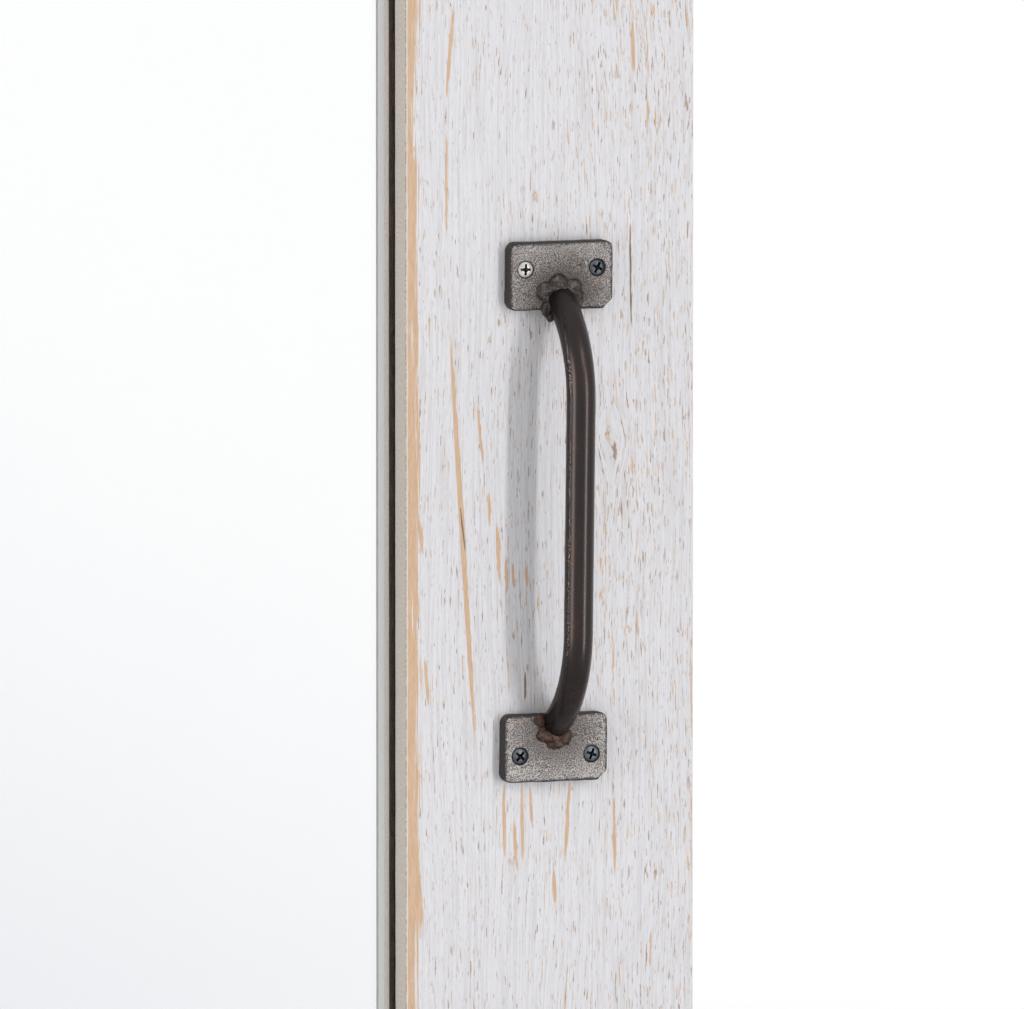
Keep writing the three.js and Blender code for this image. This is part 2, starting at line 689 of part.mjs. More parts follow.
for (const [name, side] of Object.entries(sides)) {
  const shutter = new THREE.Group();
  shutter.position.set(side * openCentre, 0, shutterTop);
  root.add(shutter);
  piece(shutter, `${name}_shutter_panel`, shutterPanel(side), whitewash);

  const handle = new THREE.Group();
  handle.position.set(side * HANDLE.aside, 0, gripHeight);
  handle.rotation.y = handleLean;
  shutter.add(handle);
  piece(handle, `${name}_handle_bar`, handleBar(), darkIron);
  for (const [endName, end] of Object.entries(ends)) {
    const height = (end * PLATE.pitch) / 2;
    const plateName = `${name}_handle_${endName}_plate`;
    piece(handle, plateName, handlePlate(end), wornIron, 0, shutterFront - SEAT, height);
  }
  for (const [place, [x, z]] of plateScrewPlaces) {
    piece(handle, `${name}_handle_${place}_screw`, handleScrew(), blackScrew, x, plateFront, z);
  }

  for (const [strapName, x] of [["outer", side * STRAP.offset], ["inner", -side * STRAP.offset]]) {
    const prefix = `${name}_${strapName}`;
    piece(shutter, `${prefix}_strap`, strap(), darkIron, x, strapBack);
    piece(shutter, `${prefix}_wheel`, wheel(), blackNylon, x, shutterMiddle, axleAboveTop);
    piece(shutter, `${prefix}_axle`, axle(), darkIron, x, 0, axleAboveTop);
    for (const [place, z] of strapScrewPlaces) {
      piece(shutter, `${prefix}_strap_${place}_screw`, strapScrew(), blackScrew, x, strapFront, z);
    }
  }
}

export default root;
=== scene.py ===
"""A wall mirror with two sliding plank shutters, hung from grooved wheels on a flat iron rail."""

import logging
import math
from collections.abc import Callable, Iterator, Mapping, Sequence
from contextlib import contextmanager
from dataclasses import dataclass
from enum import Enum
from functools import reduce
from typing import Any

import bpy
from mathutils import Matrix, Vector


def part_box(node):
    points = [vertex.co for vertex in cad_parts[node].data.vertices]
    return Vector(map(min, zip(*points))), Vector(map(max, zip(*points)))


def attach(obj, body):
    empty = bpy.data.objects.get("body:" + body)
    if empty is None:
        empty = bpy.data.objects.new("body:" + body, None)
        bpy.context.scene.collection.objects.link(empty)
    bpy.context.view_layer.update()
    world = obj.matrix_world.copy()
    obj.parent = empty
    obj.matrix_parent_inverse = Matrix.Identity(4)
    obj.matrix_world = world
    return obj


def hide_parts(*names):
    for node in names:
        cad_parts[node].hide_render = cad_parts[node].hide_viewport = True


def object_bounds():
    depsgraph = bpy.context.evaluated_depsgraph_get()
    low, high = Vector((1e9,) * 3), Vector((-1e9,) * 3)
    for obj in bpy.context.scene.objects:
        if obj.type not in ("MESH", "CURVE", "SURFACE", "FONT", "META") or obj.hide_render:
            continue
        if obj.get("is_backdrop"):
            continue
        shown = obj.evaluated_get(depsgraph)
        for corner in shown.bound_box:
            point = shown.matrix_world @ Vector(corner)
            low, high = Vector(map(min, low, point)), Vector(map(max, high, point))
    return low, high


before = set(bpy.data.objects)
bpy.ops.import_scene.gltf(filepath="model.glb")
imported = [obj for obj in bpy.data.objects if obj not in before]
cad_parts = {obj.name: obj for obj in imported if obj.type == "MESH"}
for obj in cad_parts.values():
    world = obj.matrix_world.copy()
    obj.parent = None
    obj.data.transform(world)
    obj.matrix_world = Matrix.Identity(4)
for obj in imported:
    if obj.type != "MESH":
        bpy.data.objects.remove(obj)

LOG = logging.getLogger("shutter mirror")
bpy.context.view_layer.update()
MM = 0.001
Point = tuple[float, float, float]
Colour = tuple[float, float, float]
Profile = Sequence[tuple[float, float]]


class Side(Enum):
    """Which shutter: its sign is its place along X."""

    LEFT = -1
    RIGHT = 1


class End(Enum):
    """Which end of a handle: its sign is its place along Z."""

    UPPER = 1
    LOWER = -1


class Grain(Enum):
    """Which way a board's grain runs."""

    UPRIGHT = "upright"
    LEVEL = "level"


def tone(red: float, green: float, blue: float) -> Colour:
    """A colour written as a screen shows it, from 0 to 255, as the linear light that a shader takes.

    Args:
        red: the red share, 0 to 255.
        green: the green share, 0 to 255.
        blue: the blue share, 0 to 255.

    Returns:
        The three linear shares, 0 to 1.
    """
    shares = [share / 255 for share in (red, green, blue)]
    linear = [s / 12.92 if s <= 0.04045 else ((s + 0.055) / 1.055) ** 2.4 for s in shares]
    return linear[0], linear[1], linear[2]


# ------------------------------------------------------------------ shader writing


class Signal:
    """A number that varies over a surface. Python's operators on it add Math nodes."""

    def __init__(self, graph: "Graph", socket: bpy.types.NodeSocket) -> None:
        """Keeps the socket and the graph that it belongs to."""
        self.graph = graph
        self.socket = socket

    def maths(self, operation: str, *others: "Signal | float") -> "Signal":
        """Puts this signal through a Math node.

        Args:
            operation: the Math node's operation.
            others: its other inputs, in order.

        Returns:
            The node's result.
        """
        inputs = dict(enumerate((self, *others)))
        return self.graph.signal("Math", {"operation": operation}, inputs)

    def __add__(self, other: "Signal | float") -> "Signal":
        """Adds."""
        return self.maths("ADD", other)

    def __radd__(self, other: float) -> "Signal":
        """Adds to a number."""
        return self.maths("ADD", other)

    def __sub__(self, other: "Signal | float") -> "Signal":
        """Takes away."""
        return self.maths("SUBTRACT", other)

    def __rsub__(self, other: float) -> "Signal":
        """Takes this from a number."""
        return self.graph.signal("Math", {"operation": "SUBTRACT"}, {0: other, 1: self})

    def __mul__(self, other: "Signal | float") -> "Signal":
        """Multiplies."""
        return self.maths("MULTIPLY", other)

    def __rmul__(self, other: float) -> "Signal":
        """Multiplies a number."""
        return self.maths("MULTIPLY", other)

    def __truediv__(self, other: "Signal | float") -> "Signal":
        """Divides."""
        return self.maths("DIVIDE", other)

    def __abs__(self) -> "Signal":
        """The size without the sign."""
        return self.maths("ABSOLUTE")

    def within(self, low: float, high: float) -> "Signal":
        """A smooth step: 0 below low, 1 above high. With low above high it falls instead of rising."""
        settings = {"interpolation_type": "SMOOTHSTEP"}
        if low <= high:
            return self.graph.signal("MapRange", settings, {"Value": self, "From Min": low, "From Max": high})
        ends = {"Value": self, "From Min": high, "From Max": low, "To Min": 1.0, "To Max": 0.0}
        return self.graph.signal("MapRange", settings, ends)

    def spread(self, low: float, high: float) -> "Signal":
        """A share from 0 to 1 set out between two numbers."""
        return self.maths("MULTIPLY_ADD", high - low, low)

    def largest(self, other: "Signal | float") -> "Signal":
        """The larger of the two."""
        return self.maths("MAXIMUM", other)

    def smallest(self, other: "Signal | float") -> "Signal":
        """The smaller of the two."""
        return self.maths("MINIMUM", other)


class Graph:
    """One material's node tree, with the few ways of adding to it that the finishes need."""

    def __init__(self, name: str) -> None:
        """Starts an empty node material of that name."""
        self.material = bpy.data.materials.new(name)
        self.material.use_nodes = True
        self.tree = self.material.node_tree
        self.tree.nodes.clear()

    def node(
        self,
        kind: str,
        settings: Mapping[str, Any] | None = None,
        inputs: Mapping[str | int, Any] | None = None,
    ) -> bpy.types.Node:
        """Adds a node.

        Args:
            kind: the node's type, without its ShaderNode prefix.
            settings: its own settings, which are set first.
            inputs: values or links for its sockets, by name or place.

        Returns:
            The node.
        """
        node = self.tree.nodes.new("ShaderNode" + kind)
        for key, value in (settings or {}).items():
            setattr(node, key, value)
        for key, value in (inputs or {}).items():
            self.feed(node.inputs[key], value)
        return node

    def signal(
        self,
        kind: str,
        settings: Mapping[str, Any] | None = None,
        inputs: Mapping[str | int, Any] | None = None,
    ) -> Signal:
        """Adds a node and takes its first output as a signal."""
        return Signal(self, self.node(kind, settings, inputs).outputs[0])

    def place(self) -> tuple[Signal, Signal, Signal]:
        """The three coordinates of a point of the object, in millimetres."""
        own = self.node("TexCoord").outputs["Object"]
        scaled = self.node("VectorMath", {"operation": "SCALE"}, {0: own, "Scale": 1 / MM})
        split = self.node("SeparateXYZ", None, {0: scaled.outputs[0]})
        return tuple(Signal(self, output) for output in split.outputs)

    def facing(self) -> tuple[Signal, Signal, Signal]:
        """The three parts of the surface's outward direction."""
        own = self.node("TexCoord").outputs["Normal"]
        split = self.node("SeparateXYZ", None, {0: own})
        return tuple(Signal(self, output) for output in split.outputs)

    def noise(self, x: Any, y: Any, z: Any, detail: float = 2.0, roughness: float = 0.5) -> Signal:
        """Even noise at a point whose coordinates are already scaled, from about 0.2 to 0.8."""
        at = self.node("CombineXYZ", None, {0: x, 1: y, 2: z}).outputs[0]
        inputs = {"Vector": at, "Scale": 1.0, "Detail": detail, "Roughness": roughness}
        return self.signal("TexNoise", None, inputs)

    def blend(self, share: Signal | float, under: Any, over: Any) -> bpy.types.NodeSocket:
        """Lays one colour over another.

        Args:
            share: how much of the upper colour shows, 0 to 1.
            under: the lower colour, or a socket that gives it.
            over: the upper colour, or a socket that gives it.

        Returns:
            The colour socket of the mixture.
        """
        mix = self.tree.nodes.new("ShaderNodeMix")
        mix.data_type = "RGBA"
        self.feed(mix.inputs[0], share)
        self.feed(mix.inputs[6], under)
        self.feed(mix.inputs[7], over)
        return mix.outputs[2]

    def feed(self, socket: bpy.types.NodeSocket, value: Any) -> None:
        """Gives a socket a link, a colour or a number."""
        if isinstance(value, Signal):
            self.tree.links.new(value.socket, socket)
        elif isinstance(value, bpy.types.NodeSocket):
            self.tree.links.new(value, socket)
        elif isinstance(value, tuple) and len(value) == 3 and socket.type == "RGBA":
            socket.default_value = (*value, 1.0)
        else:
            socket.default_value = value

    def relief(self, height: Signal, depth: float, strength: float = 1.0) -> bpy.types.NodeSocket:
        """A bumped normal, from a height of 0 to 1 that stands for depth in millimetres."""
        inputs = {"Height": height, "Distance": depth * MM, "Strength": strength}
        return self.node("Bump", None, inputs).outputs[0]

    def surface(self, **inputs: Any) -> bpy.types.Material:
        """Closes the material with a Principled shader, whose sockets are named with underscores.

        Args:
            inputs: values or links for the shader's sockets, such as Base_Color.

        Returns:
            The finished material.
        """
        named = {name.replace("_", " "): value for name, value in inputs.items()}
        shader = self.node("BsdfPrincipled", None, named)
        self.node("OutputMaterial", None, {"Surface": shader.outputs[0]})
        return self.material


# ------------------------------------------------------------------ finishes


def opposite(spot: tuple[float, float], middle: tuple[float, float]) -> tuple[float, float]:
    """The place as far beyond a middle as a spot is before it."""
    return 2 * middle[0] - spot[0], 2 * middle[1] - spot[1]


@dataclass(frozen=True)
class Flame:
    """A lens-shaped streak of worn paint: its two ends as (across, up) and its half width, in millimetres."""

    top: tuple[float, float]
    foot: tuple[float, float]
    half_width: float
    brown: bool = False

    def turned_over(self, middle: tuple[float, float]) -> "Flame":
        """The same streak with its plank turned half round in its own plane, about the plank's middle."""
        top, foot = opposite(self.foot, middle), opposite(self.top, middle)
        return Flame(top, foot, self.half_width, self.brown)

    def reach(self, graph: Graph, at: bpy.types.NodeSocket) -> Signal:
        """How far a point is from the streak's middle: below 1 inside its lens shape, above 1 outside."""
        run = Vector(self.top) - Vector(self.foot)
        middle = (Vector(self.top) + Vector(self.foot)) / 2
        inputs = {
            "Vector": at,
            "Location": (middle.x, middle.y, 0.0),
            "Rotation": (0.0, 0.0, -math.atan2(run.x, run.y)),
            "Scale": (self.half_width, run.length / 2, 1.0),
        }
        own = graph.node("Mapping", {"vector_type": "TEXTURE"}, inputs)
        length = graph.node("VectorMath", {"operation": "LENGTH"}, {0: own.outputs[0]})
        return Signal(graph, length.outputs["Value"])


@dataclass(frozen=True)
class Whitewash:
    """Cool-white paint rubbed over pine. Bare wood shows in ticks and streaks and along the arrises."""

    name: str
    low: Point
    high: Point
    grain: Grain = Grain.UPRIGHT
    seed: float = 0.0
    wear: float = 0.0
    margins: tuple[float, float] = (2.0, 0.0)
    flames: tuple[Flame, ...] = ()
    knot: tuple[float, float] | None = None
    paint: Colour = tone(222, 221, 225)
    bare: Colour = tone(214, 181, 150)
    core: Colour = tone(134, 110, 94)
    side: Colour = tone(214, 207, 198)
    ticks_from: float = 0.612
    worn_from: float = 0.678
    core_from: float = 0.775
    grain_sway: float = 9.0
    relief_depth: float = 0.16

    def material(self) -> bpy.types.Material:
        """Builds the paint, its streaks, its worn arrises, its grain relief and its back, painted dark brown as shade
        for the gap behind the planks.
        """
        graph = Graph(self.name)
        x, y, z = graph.place()
        nx, ny, nz = graph.facing()
        level = self.grain is Grain.LEVEL
        across, along = (z, x) if level else (x, z)
        flat, end = (abs(nz), abs(nx)) if level else (abs(nx), abs(nz))
        across = across - (self.low[2] if level else self.low[0])
        width = (self.high[2] - self.low[2]) if level else (self.high[0] - self.low[0])
        front = self.front(graph, across, y, along, width)
        colour = graph.blend(flat.within(0.80, 0.95), front.colour, self.edge_face(graph, across, y, along))
        cut = graph.noise(across * 0.25, y * 1.4, 0.4, 2.0).within(0.44, 0.56)
        end_grain = graph.blend(cut, tone(206, 186, 160), tone(168, 142, 114))
        colour = graph.blend(end.within(0.7, 0.9), colour, end_grain)
        # Painted shade: the faces turned to the wall are dark brown, darker than bare pine, so the gap between plank
        # and glass comes out dark.
        dark_back_as_shade = graph.blend(front.fine.within(0.4, 0.6), tone(120, 96, 74), tone(96, 74, 56))
        colour = graph.blend(ny.within(0.7, 0.9), colour, dark_back_as_shade)
        return graph.surface(
            Base_Color=colour,
            Roughness=front.worn.spread(0.60, 0.78),
            Specular_IOR_Level=0.3,
            Normal=graph.relief(front.height, self.relief_depth, 0.6),
        )

    def front(
        self, graph: Graph, across: Signal, depth: Signal, along: Signal, width: float
    ) -> "PaintedFace":
        """The painted face: lines in the paint, short ticks, longer streaks, flames, rubbed margins and a painted
        highlight along the long arrises.
        """
        seeded = along + self.seed * 977.0
        drift = graph.noise(across * 0.022, depth * 0.02, seeded * 0.008, 1.0) - 0.5
        grain = across + drift * self.grain_sway
        if self.knot is not None:
            grain = grain + self.swirl(across, along)
        lines = graph.noise(grain * 1.1, depth * 0.5, seeded * 0.018, 3.0, 0.6)
        fine = graph.noise(grain * 2.4, depth * 0.8, seeded * 0.20, 3.0, 0.65)
        tick = graph.noise(grain * 1.35, depth * 0.5, seeded * 0.14, 2.0, 0.6)
        streak = graph.noise(grain * 0.62, depth * 0.3, seeded * 0.040, 3.0, 0.6)
        ragged = graph.noise(grain * 1.5, depth * 0.4, seeded * 0.11, 3.0, 0.65)
        patch = graph.noise(across * 0.035, depth * 0.05, seeded * 0.010, 2.0) - 0.5

        busy = patch * 0.13 + across.within(width * 0.40, width * 0.95) * 0.030 + self.wear
        ticks = (tick + busy - self.ticks_from).within(0.0, 0.040)
        worn = (streak + busy - self.worn_from).within(0.0, 0.030)
        core = (streak + busy - self.core_from).within(0.0, 0.040)
        near, far = self.margins
        strand = graph.noise(across * 1.6, depth * 0.4, seeded * 0.026, 3.0, 0.65)
        sway = (graph.noise(0.5, 0.5, seeded * 0.016, 1.0) - 0.5) * self.grain_sway
        for edge, reach in ((across, near), (width - across, far)):
            rubbed = (strand + (sway + reach - edge) * 0.075 - 0.54).within(0.0, 0.04)
            worn = worn.largest(rubbed * edge.within(14.0, 5.0))
        if self.flames:
            uneven = {0: across + (ragged - 0.5) * 1.1, 1: along + (fine - 0.5) * 5.0}
            at = graph.node("CombineXYZ", None, uneven).outputs[0]
            for brown in sorted({flame.brown for flame in self.flames}):
                kin = [flame for flame in self.flames if flame.brown is brown]
                nearest = reduce(Signal.smallest, (flame.reach(graph, at) for flame in kin))
                mark = (nearest + (ragged - 0.5) * 0.7).within(1.12, 0.86)
                worn = worn.largest(mark)
                core = core.largest(mark) if brown else core
        # Painted highlight: a pale band within about half a millimetre of each long arris.
        arris_highlight = (across.smallest(width - across) + (ragged - 0.5) * 0.5).within(0.62, 0.42)

        colour = graph.blend(lines.within(0.36, 0.58), tone(210, 208, 210), self.paint)
        colour = graph.blend(fine.within(0.54, 0.70) * 0.5, colour, tone(232, 231, 234))
        colour = graph.blend(fine.within(0.46, 0.32) * 0.4, colour, tone(196, 190, 187))
        thin = graph.blend(ragged.within(0.47, 0.60), tone(206, 181, 160), tone(146, 122, 104))
        colour = graph.blend(ticks * 0.85, colour, thin)
        wood = graph.blend(fine.within(0.58, 0.40) * 0.8, self.bare, tone(200, 165, 132))
        wood = graph.blend(core, wood, self.core)
        colour = graph.blend(worn * 0.96, colour, wood)
        colour = graph.blend(arris_highlight * 0.8, colour, tone(226, 223, 221))
        height = lines * 0.35 + fine * 0.45
        return PaintedFace(colour, height, worn, fine)

    def edge_face(self, graph: Graph, across: Signal, depth: Signal, along: Signal) -> bpy.types.NodeSocket:
        """The long edge of the board: greige, finely mottled, with a dotted brown line at its front arris."""
        mottle = graph.noise(across * 0.3, depth * 1.5, along * 0.9, 3.0, 0.7)
        dusty = graph.blend(mottle.within(0.42, 0.60), tone(196, 187, 176), self.side)
        dots = graph.noise(across * 0.3, 0.5, along * 0.55, 2.0, 0.6).within(0.44, 0.54)
        line = (depth - self.low[1]).within(1.15, 0.85) * dots
        return graph.blend(line * 0.75, dusty, tone(150, 118, 92))

    def swirl(self, across: Signal, along: Signal) -> Signal:
        """How far the grain is pushed aside round the knot, in millimetres."""
        u, v = self.knot
        du = across - u
        dv = (along - v) * 0.5
        reach = (du * du + dv * dv) / 90.0
        return (0.0 - du) * (1.0 - reach).within(0.0, 1.0) * 0.85


@dataclass(frozen=True)
class PaintedFace:
    """What a painted face hands on to the board's material."""

    colour: bpy.types.NodeSocket
    height: Signal
    worn: Signal
    fine: Signal


@dataclass(frozen=True)
class Iron:
    """Waxed iron: a dark ground with browner, rubbed places and a fine tooth; given a depth, painted shade makes it
    near black beyond that depth.
    """

    name: str
    dark: Colour
    rubbed: Colour
    seed: float = 0.0
    share: float = 0.5
    roughness: tuple[float, float] = (0.34, 0.55)
    metallic: float = 0.85
    tooth: float = 0.06
    recess_shade_depth: float | None = None

    def material(self) -> bpy.types.Material:
        """Builds the mottled ground, its rubbed places and its tooth."""
        graph = Graph(self.name)
        x, y, z = graph.place()
        x = x + self.seed * 61.0
        broad = graph.noise(x * 0.11, y * 0.11, z * 0.07, 3.0, 0.6)
        small = graph.noise(x * 0.8, y * 0.8, z * 0.6, 3.0, 0.65)
        grit = graph.noise(x * 3.1, y * 3.1, z * 3.1, 2.0, 0.6)
        rubbed = (broad * 0.5 + small * 0.5 - self.share).within(-0.12, 0.12)
        colour = graph.blend(rubbed, self.dark, self.rubbed)
        colour = graph.blend(small.within(0.58, 0.70) * 0.4, colour, tuple(c * 0.45 for c in self.dark))
        # Painted shade: everything deeper than this depth is near black, as in the cross recess and round the sunk
        # rim of the head.
        if self.recess_shade_depth is not None:
            colour = graph.blend(y.within(self.recess_shade_depth, self.recess_shade_depth + 0.25), colour, tone(9, 9, 10))
        rough = (rubbed * 0.6 + grit * 0.4).spread(*self.roughness)
        height = small * 0.6 + grit * 0.4
        return graph.surface(
            Base_Color=colour,
            Metallic=self.metallic,
            Roughness=rough,
            Normal=graph.relief(height, self.tooth, 0.8),
        )


@dataclass(frozen=True)
class Scale:
    """Rough iron plate: pale and dark specks with rusty dots, darker round the weld and at the edges, with painted
    shade on the faces that turn away from the front.
    """

    name: str
    middle: Point
    half: tuple[float, float]
    root: float
    seed: float = 0.0
    pale: Colour = tone(172, 164, 160)
    burnt: float = 0.75

    def material(self) -> bpy.types.Material:
        """Builds the specks, the weld's dark cloud, the dark edges, the painted shade on the sides and the rough
        face.
        """
        graph = Graph(self.name)
        x, y, z = graph.place()
        u, v = x - self.middle[0], z - self.middle[2]
        sx, sz = x + self.seed * 37.0, z + self.seed * 53.0
        speck = graph.noise(sx * 2.1, y * 2.1, sz * 2.1, 1.0, 0.5)
        grit = graph.noise(sx * 3.6, y * 3.6, sz * 3.6, 1.0, 0.5)
        cloud = graph.noise(sx * 0.12, y * 0.12, sz * 0.12, 3.0, 0.6)
        dots = graph.noise(sx * 0.9, y * 0.9, sz * 0.9 + 31.0, 2.0, 0.65)

        near = (u * u + (v - self.root) * (v - self.root) * 1.5).maths("SQRT")
        burnt = (near + (cloud - 0.5) * 22.0 + (speck - 0.5) * 12.0).within(24.0, 9.0)
        rim = (self.half[0] - abs(u)).smallest(self.half[1] - abs(v))
        edge = (rim + (speck - 0.5) * 2.4).within(1.7, 0.5)

        bright = (speck * 0.7 + grit * 0.3 - (cloud - 0.5) * 0.25).within(0.34, 0.64)
        ground = graph.blend(bright, tone(62, 55, 53), self.pale)
        ground = graph.blend(dots.within(0.60, 0.68) * 0.55, ground, tone(112, 74, 66))
        ground = graph.blend(cloud.within(0.54, 0.70) * 0.40, ground, tone(152, 122, 104))
        scorched = graph.blend(bright, tone(27, 23, 22), tone(104, 94, 88))
        ground = graph.blend(burnt * self.burnt, ground, scorched)
        colour = graph.blend(edge * 0.85, ground, tone(36, 31, 31))
        # Painted shade: faces that turn away from the front, the plate's sides and the slopes of its edges, are
        # darkened.
        _, ny, _ = graph.facing()
        colour = graph.blend(ny.within(-0.92, -0.60) * 0.9, colour, tone(44, 38, 37))
        return graph.surface(
            Base_Color=colour,
            Metallic=bright.spread(0.25, 0.6),
            Roughness=grit.spread(0.42, 0.68),
            Normal=graph.relief(speck * 0.7 + grit * 0.3, 0.55, 0.9),
        )


@dataclass(frozen=True)
class Slag:
    """A hand-laid weld: black glassy hollows, grey-brown speckled tops, a tint of rust, and painted light that makes
    faces turned to the front a little paler.
    """

    name: str
    dark: Colour
    top: Colour
    rust: Colour
    seed: float = 0.0

    def material(self) -> bpy.types.Material:
        """Builds the hollows, the tops, the rust and the coarse relief."""
        graph = Graph(self.name)
        x, y, z = graph.place()
        sx = x + self.seed * 41.0
        broad = graph.noise(sx * 0.28, y * 0.28, z * 0.28, 2.0, 0.55)
        speck = graph.noise(sx * 1.5, y * 1.5, z * 1.5, 3.0, 0.65)
        _, ny, _ = graph.facing()
        # The tops follow the noise; the ny term is painted light, paler where the weld faces the front.
        tops_and_front_light = (broad * 0.55 + speck * 0.45 - ny * 0.06).within(0.50, 0.66)
        colour = graph.blend(tops_and_front_light, self.dark, self.top)
        colour = graph.blend(broad.within(0.50, 0.42) * 0.6, colour, self.rust)
        colour = graph.blend(speck.within(0.46, 0.36) * 0.8, colour, tone(20, 17, 16))
        return graph.surface(
            Base_Color=colour,
            Metallic=0.45,
            Roughness=speck.spread(0.22, 0.50),
            Normal=graph.relief(speck * 0.6 + broad * 0.4, 0.55, 0.85),
        )


@dataclass(frozen=True)
class Coat:
    """A plain coat or raw sheet whose two tones are mixed in specks or along one direction."""

    name: str
    first: Colour
    second: Colour
    stretch: Point = (1.0, 1.0, 1.0)
    metallic: float = 0.0
    roughness: tuple[float, float] = (0.45, 0.6)
    tooth: float = 0.04

    def material(self) -> bpy.types.Material:
        """Builds the two tones and the relief that goes with them."""
        graph = Graph(self.name)
        x, y, z = graph.place()
        sx, sy, sz = self.stretch
        coarse = graph.noise(x * sx, y * sy, z * sz, 3.0, 0.6)
        fine = graph.noise(x * (sx * 3.7), y * (sy * 3.7), z * (sz * 3.7), 2.0, 0.6)
        share = (coarse * 0.6 + fine * 0.4).within(0.38, 0.62)
        return graph.surface(
            Base_Color=graph.blend(share, self.first, self.second),
            Metallic=self.metallic,
            Roughness=fine.spread(*self.roughness),
            Normal=graph.relief(coarse * 0.5 + fine * 0.5, self.tooth, 0.8),
        )


@dataclass(frozen=True)
class ClearGlass:
    """Float glass: clear, with a trace of dust, and a narrow pale matte band that runs round near its edge and
    lightens that strip of the reflection.
    """

    name: str
    low: Point
    high: Point
    inset: float
    line: float = 2.6

    def material(self) -> bpy.types.Material:
        """Builds the clear glass, the pale matte band and the mask that parts them."""
        graph = Graph(self.name)
        x, y, z = graph.place()
        _, ny, _ = graph.facing()
        dust = graph.noise(x * 0.03, y * 0.03, z * 0.03, 2.0)
        bloom = graph.noise(x * 1.1, y * 1.1, z * 0.4, 2.0)
        glass = {
            "Base Color": graph.blend(dust, (0.996, 1.0, 1.0), (1.0, 1.0, 1.0)),
            "Roughness": dust.spread(0.0, 0.004),
            "IOR": 1.52,
            "Transmission Weight": 1.0,
        }
        # A pale matte band on the front of the glass; it lightens that strip of the reflection.
        pale_band = {
            "Base Color": graph.blend(bloom, tone(222, 224, 225), tone(230, 231, 232)),
            "Roughness": bloom.spread(0.5, 0.7),
        }
        middle = ((self.low[0] + self.high[0]) / 2, (self.low[2] + self.high[2]) / 2)
        half = ((self.high[0] - self.low[0]) / 2, (self.high[2] - self.low[2]) / 2)
        rim = (half[0] - abs(x - middle[0])).smallest(half[1] - abs(z - middle[1])) - self.inset
        band = rim.within(-0.1, 0.1) * rim.within(self.line + 0.1, self.line - 0.1)
        line = band * ny.within(-0.7, -0.9)
        shaders = [graph.node("BsdfPrincipled", None, inputs).outputs[0] for inputs in (glass, pale_band)]
        mix = graph.node("MixShader", None, {0: line, 1: shaders[0], 2: shaders[1]})
        graph.node("OutputMaterial", None, {"Surface": mix.outputs[0]})
        return graph.material


@dataclass(frozen=True)
class Silver:
    """The bright side of the silvering."""

    name: str = "silvering"

    def material(self) -> bpy.types.Material:
        """Builds a mirror that gives back nearly all the light."""
        graph = Graph(self.name)
        x, y, z = graph.place()
        cloud = graph.noise(x * 0.02, y * 0.02, z * 0.02, 2.0)
        return graph.surface(
            Base_Color=graph.blend(cloud, (0.985, 0.99, 0.992), (1.0, 1.0, 1.0)),
            Metallic=1.0,
            Roughness=cloud.spread(0.0, 0.002),
        )


# ------------------------------------------------------------------ modelling


@contextmanager
def editing(piece: bpy.types.Object, mode: str = "VERT") -> Iterator[None]:
    """Opens a piece alone in edit mode, and closes it again.

    Args:
        piece: the piece to open.
        mode: what selections are made of: VERT, EDGE or FACE.

    Yields:
        Nothing.
    """
    alone(piece)
    kinds = ("VERT", "EDGE", "FACE")
    bpy.context.tool_settings.mesh_select_mode = tuple(kind == mode for kind in kinds)
    bpy.ops.object.mode_set(mode="EDIT")
    yield
    bpy.ops.object.mode_set(mode="OBJECT")


def alone(*pieces: bpy.types.Object) -> None:
    """Selects these pieces and nothing else. The first one becomes the active one."""
    bpy.ops.object.select_all(action="DESELECT")
    for piece in pieces:
        piece.select_set(True)
    if pieces:
        bpy.context.view_layer.objects.active = pieces[0]


def settle(piece: bpy.types.Object) -> None:
    """Puts a piece's place, turn and size into its mesh."""
    alone(piece)
    bpy.ops.object.transform_apply(location=True, rotation=True, scale=True)


def adopt(name: str) -> bpy.types.Object:
    """Names the piece that Blender has just made, and settles it."""
    piece = bpy.context.object
    piece.name = piece.data.name = name
    settle(piece)
    return piece


def join(name: str, parts: Sequence[bpy.types.Object]) -> bpy.types.Object:
    """Joins pieces into one, and names it."""
    alone(*parts)
    bpy.ops.object.join()
    return adopt(name)


def finish_mesh(piece: bpy.types.Object, angle: float = 35.0) -> bpy.types.Object:
    """Joins doubled points, turns the faces outwards and smooths what bends less than an angle in degrees."""
    with editing(piece):
        bpy.ops.mesh.select_all(action="SELECT")
        bpy.ops.mesh.remove_doubles(threshold=1e-6)
        bpy.ops.mesh.normals_make_consistent(inside=False)
    alone(piece)
    bpy.ops.object.shade_smooth_by_angle(angle=math.radians(angle))
    return piece


def block(name: str, low: Sequence[float], high: Sequence[float]) -> bpy.types.Object:
    """A block between two corners, which are in millimetres."""
    alone()
    low, high = Vector(low) * MM, Vector(high) * MM
    bpy.ops.mesh.primitive_cube_add(size=1, location=(low + high) / 2)
    bpy.context.object.scale = high - low
    return adopt(name)


def lump(name: str, centre: Point, radii: Point, subdivisions: int = 3) -> bpy.types.Object:
    """A round lump with three radii, in millimetres."""
    alone()
    middle = Vector(centre) * MM
    bpy.ops.mesh.primitive_ico_sphere_add(subdivisions=subdivisions, radius=1, location=middle)
    bpy.context.object.scale = Vector(radii) * MM
    return adopt(name)


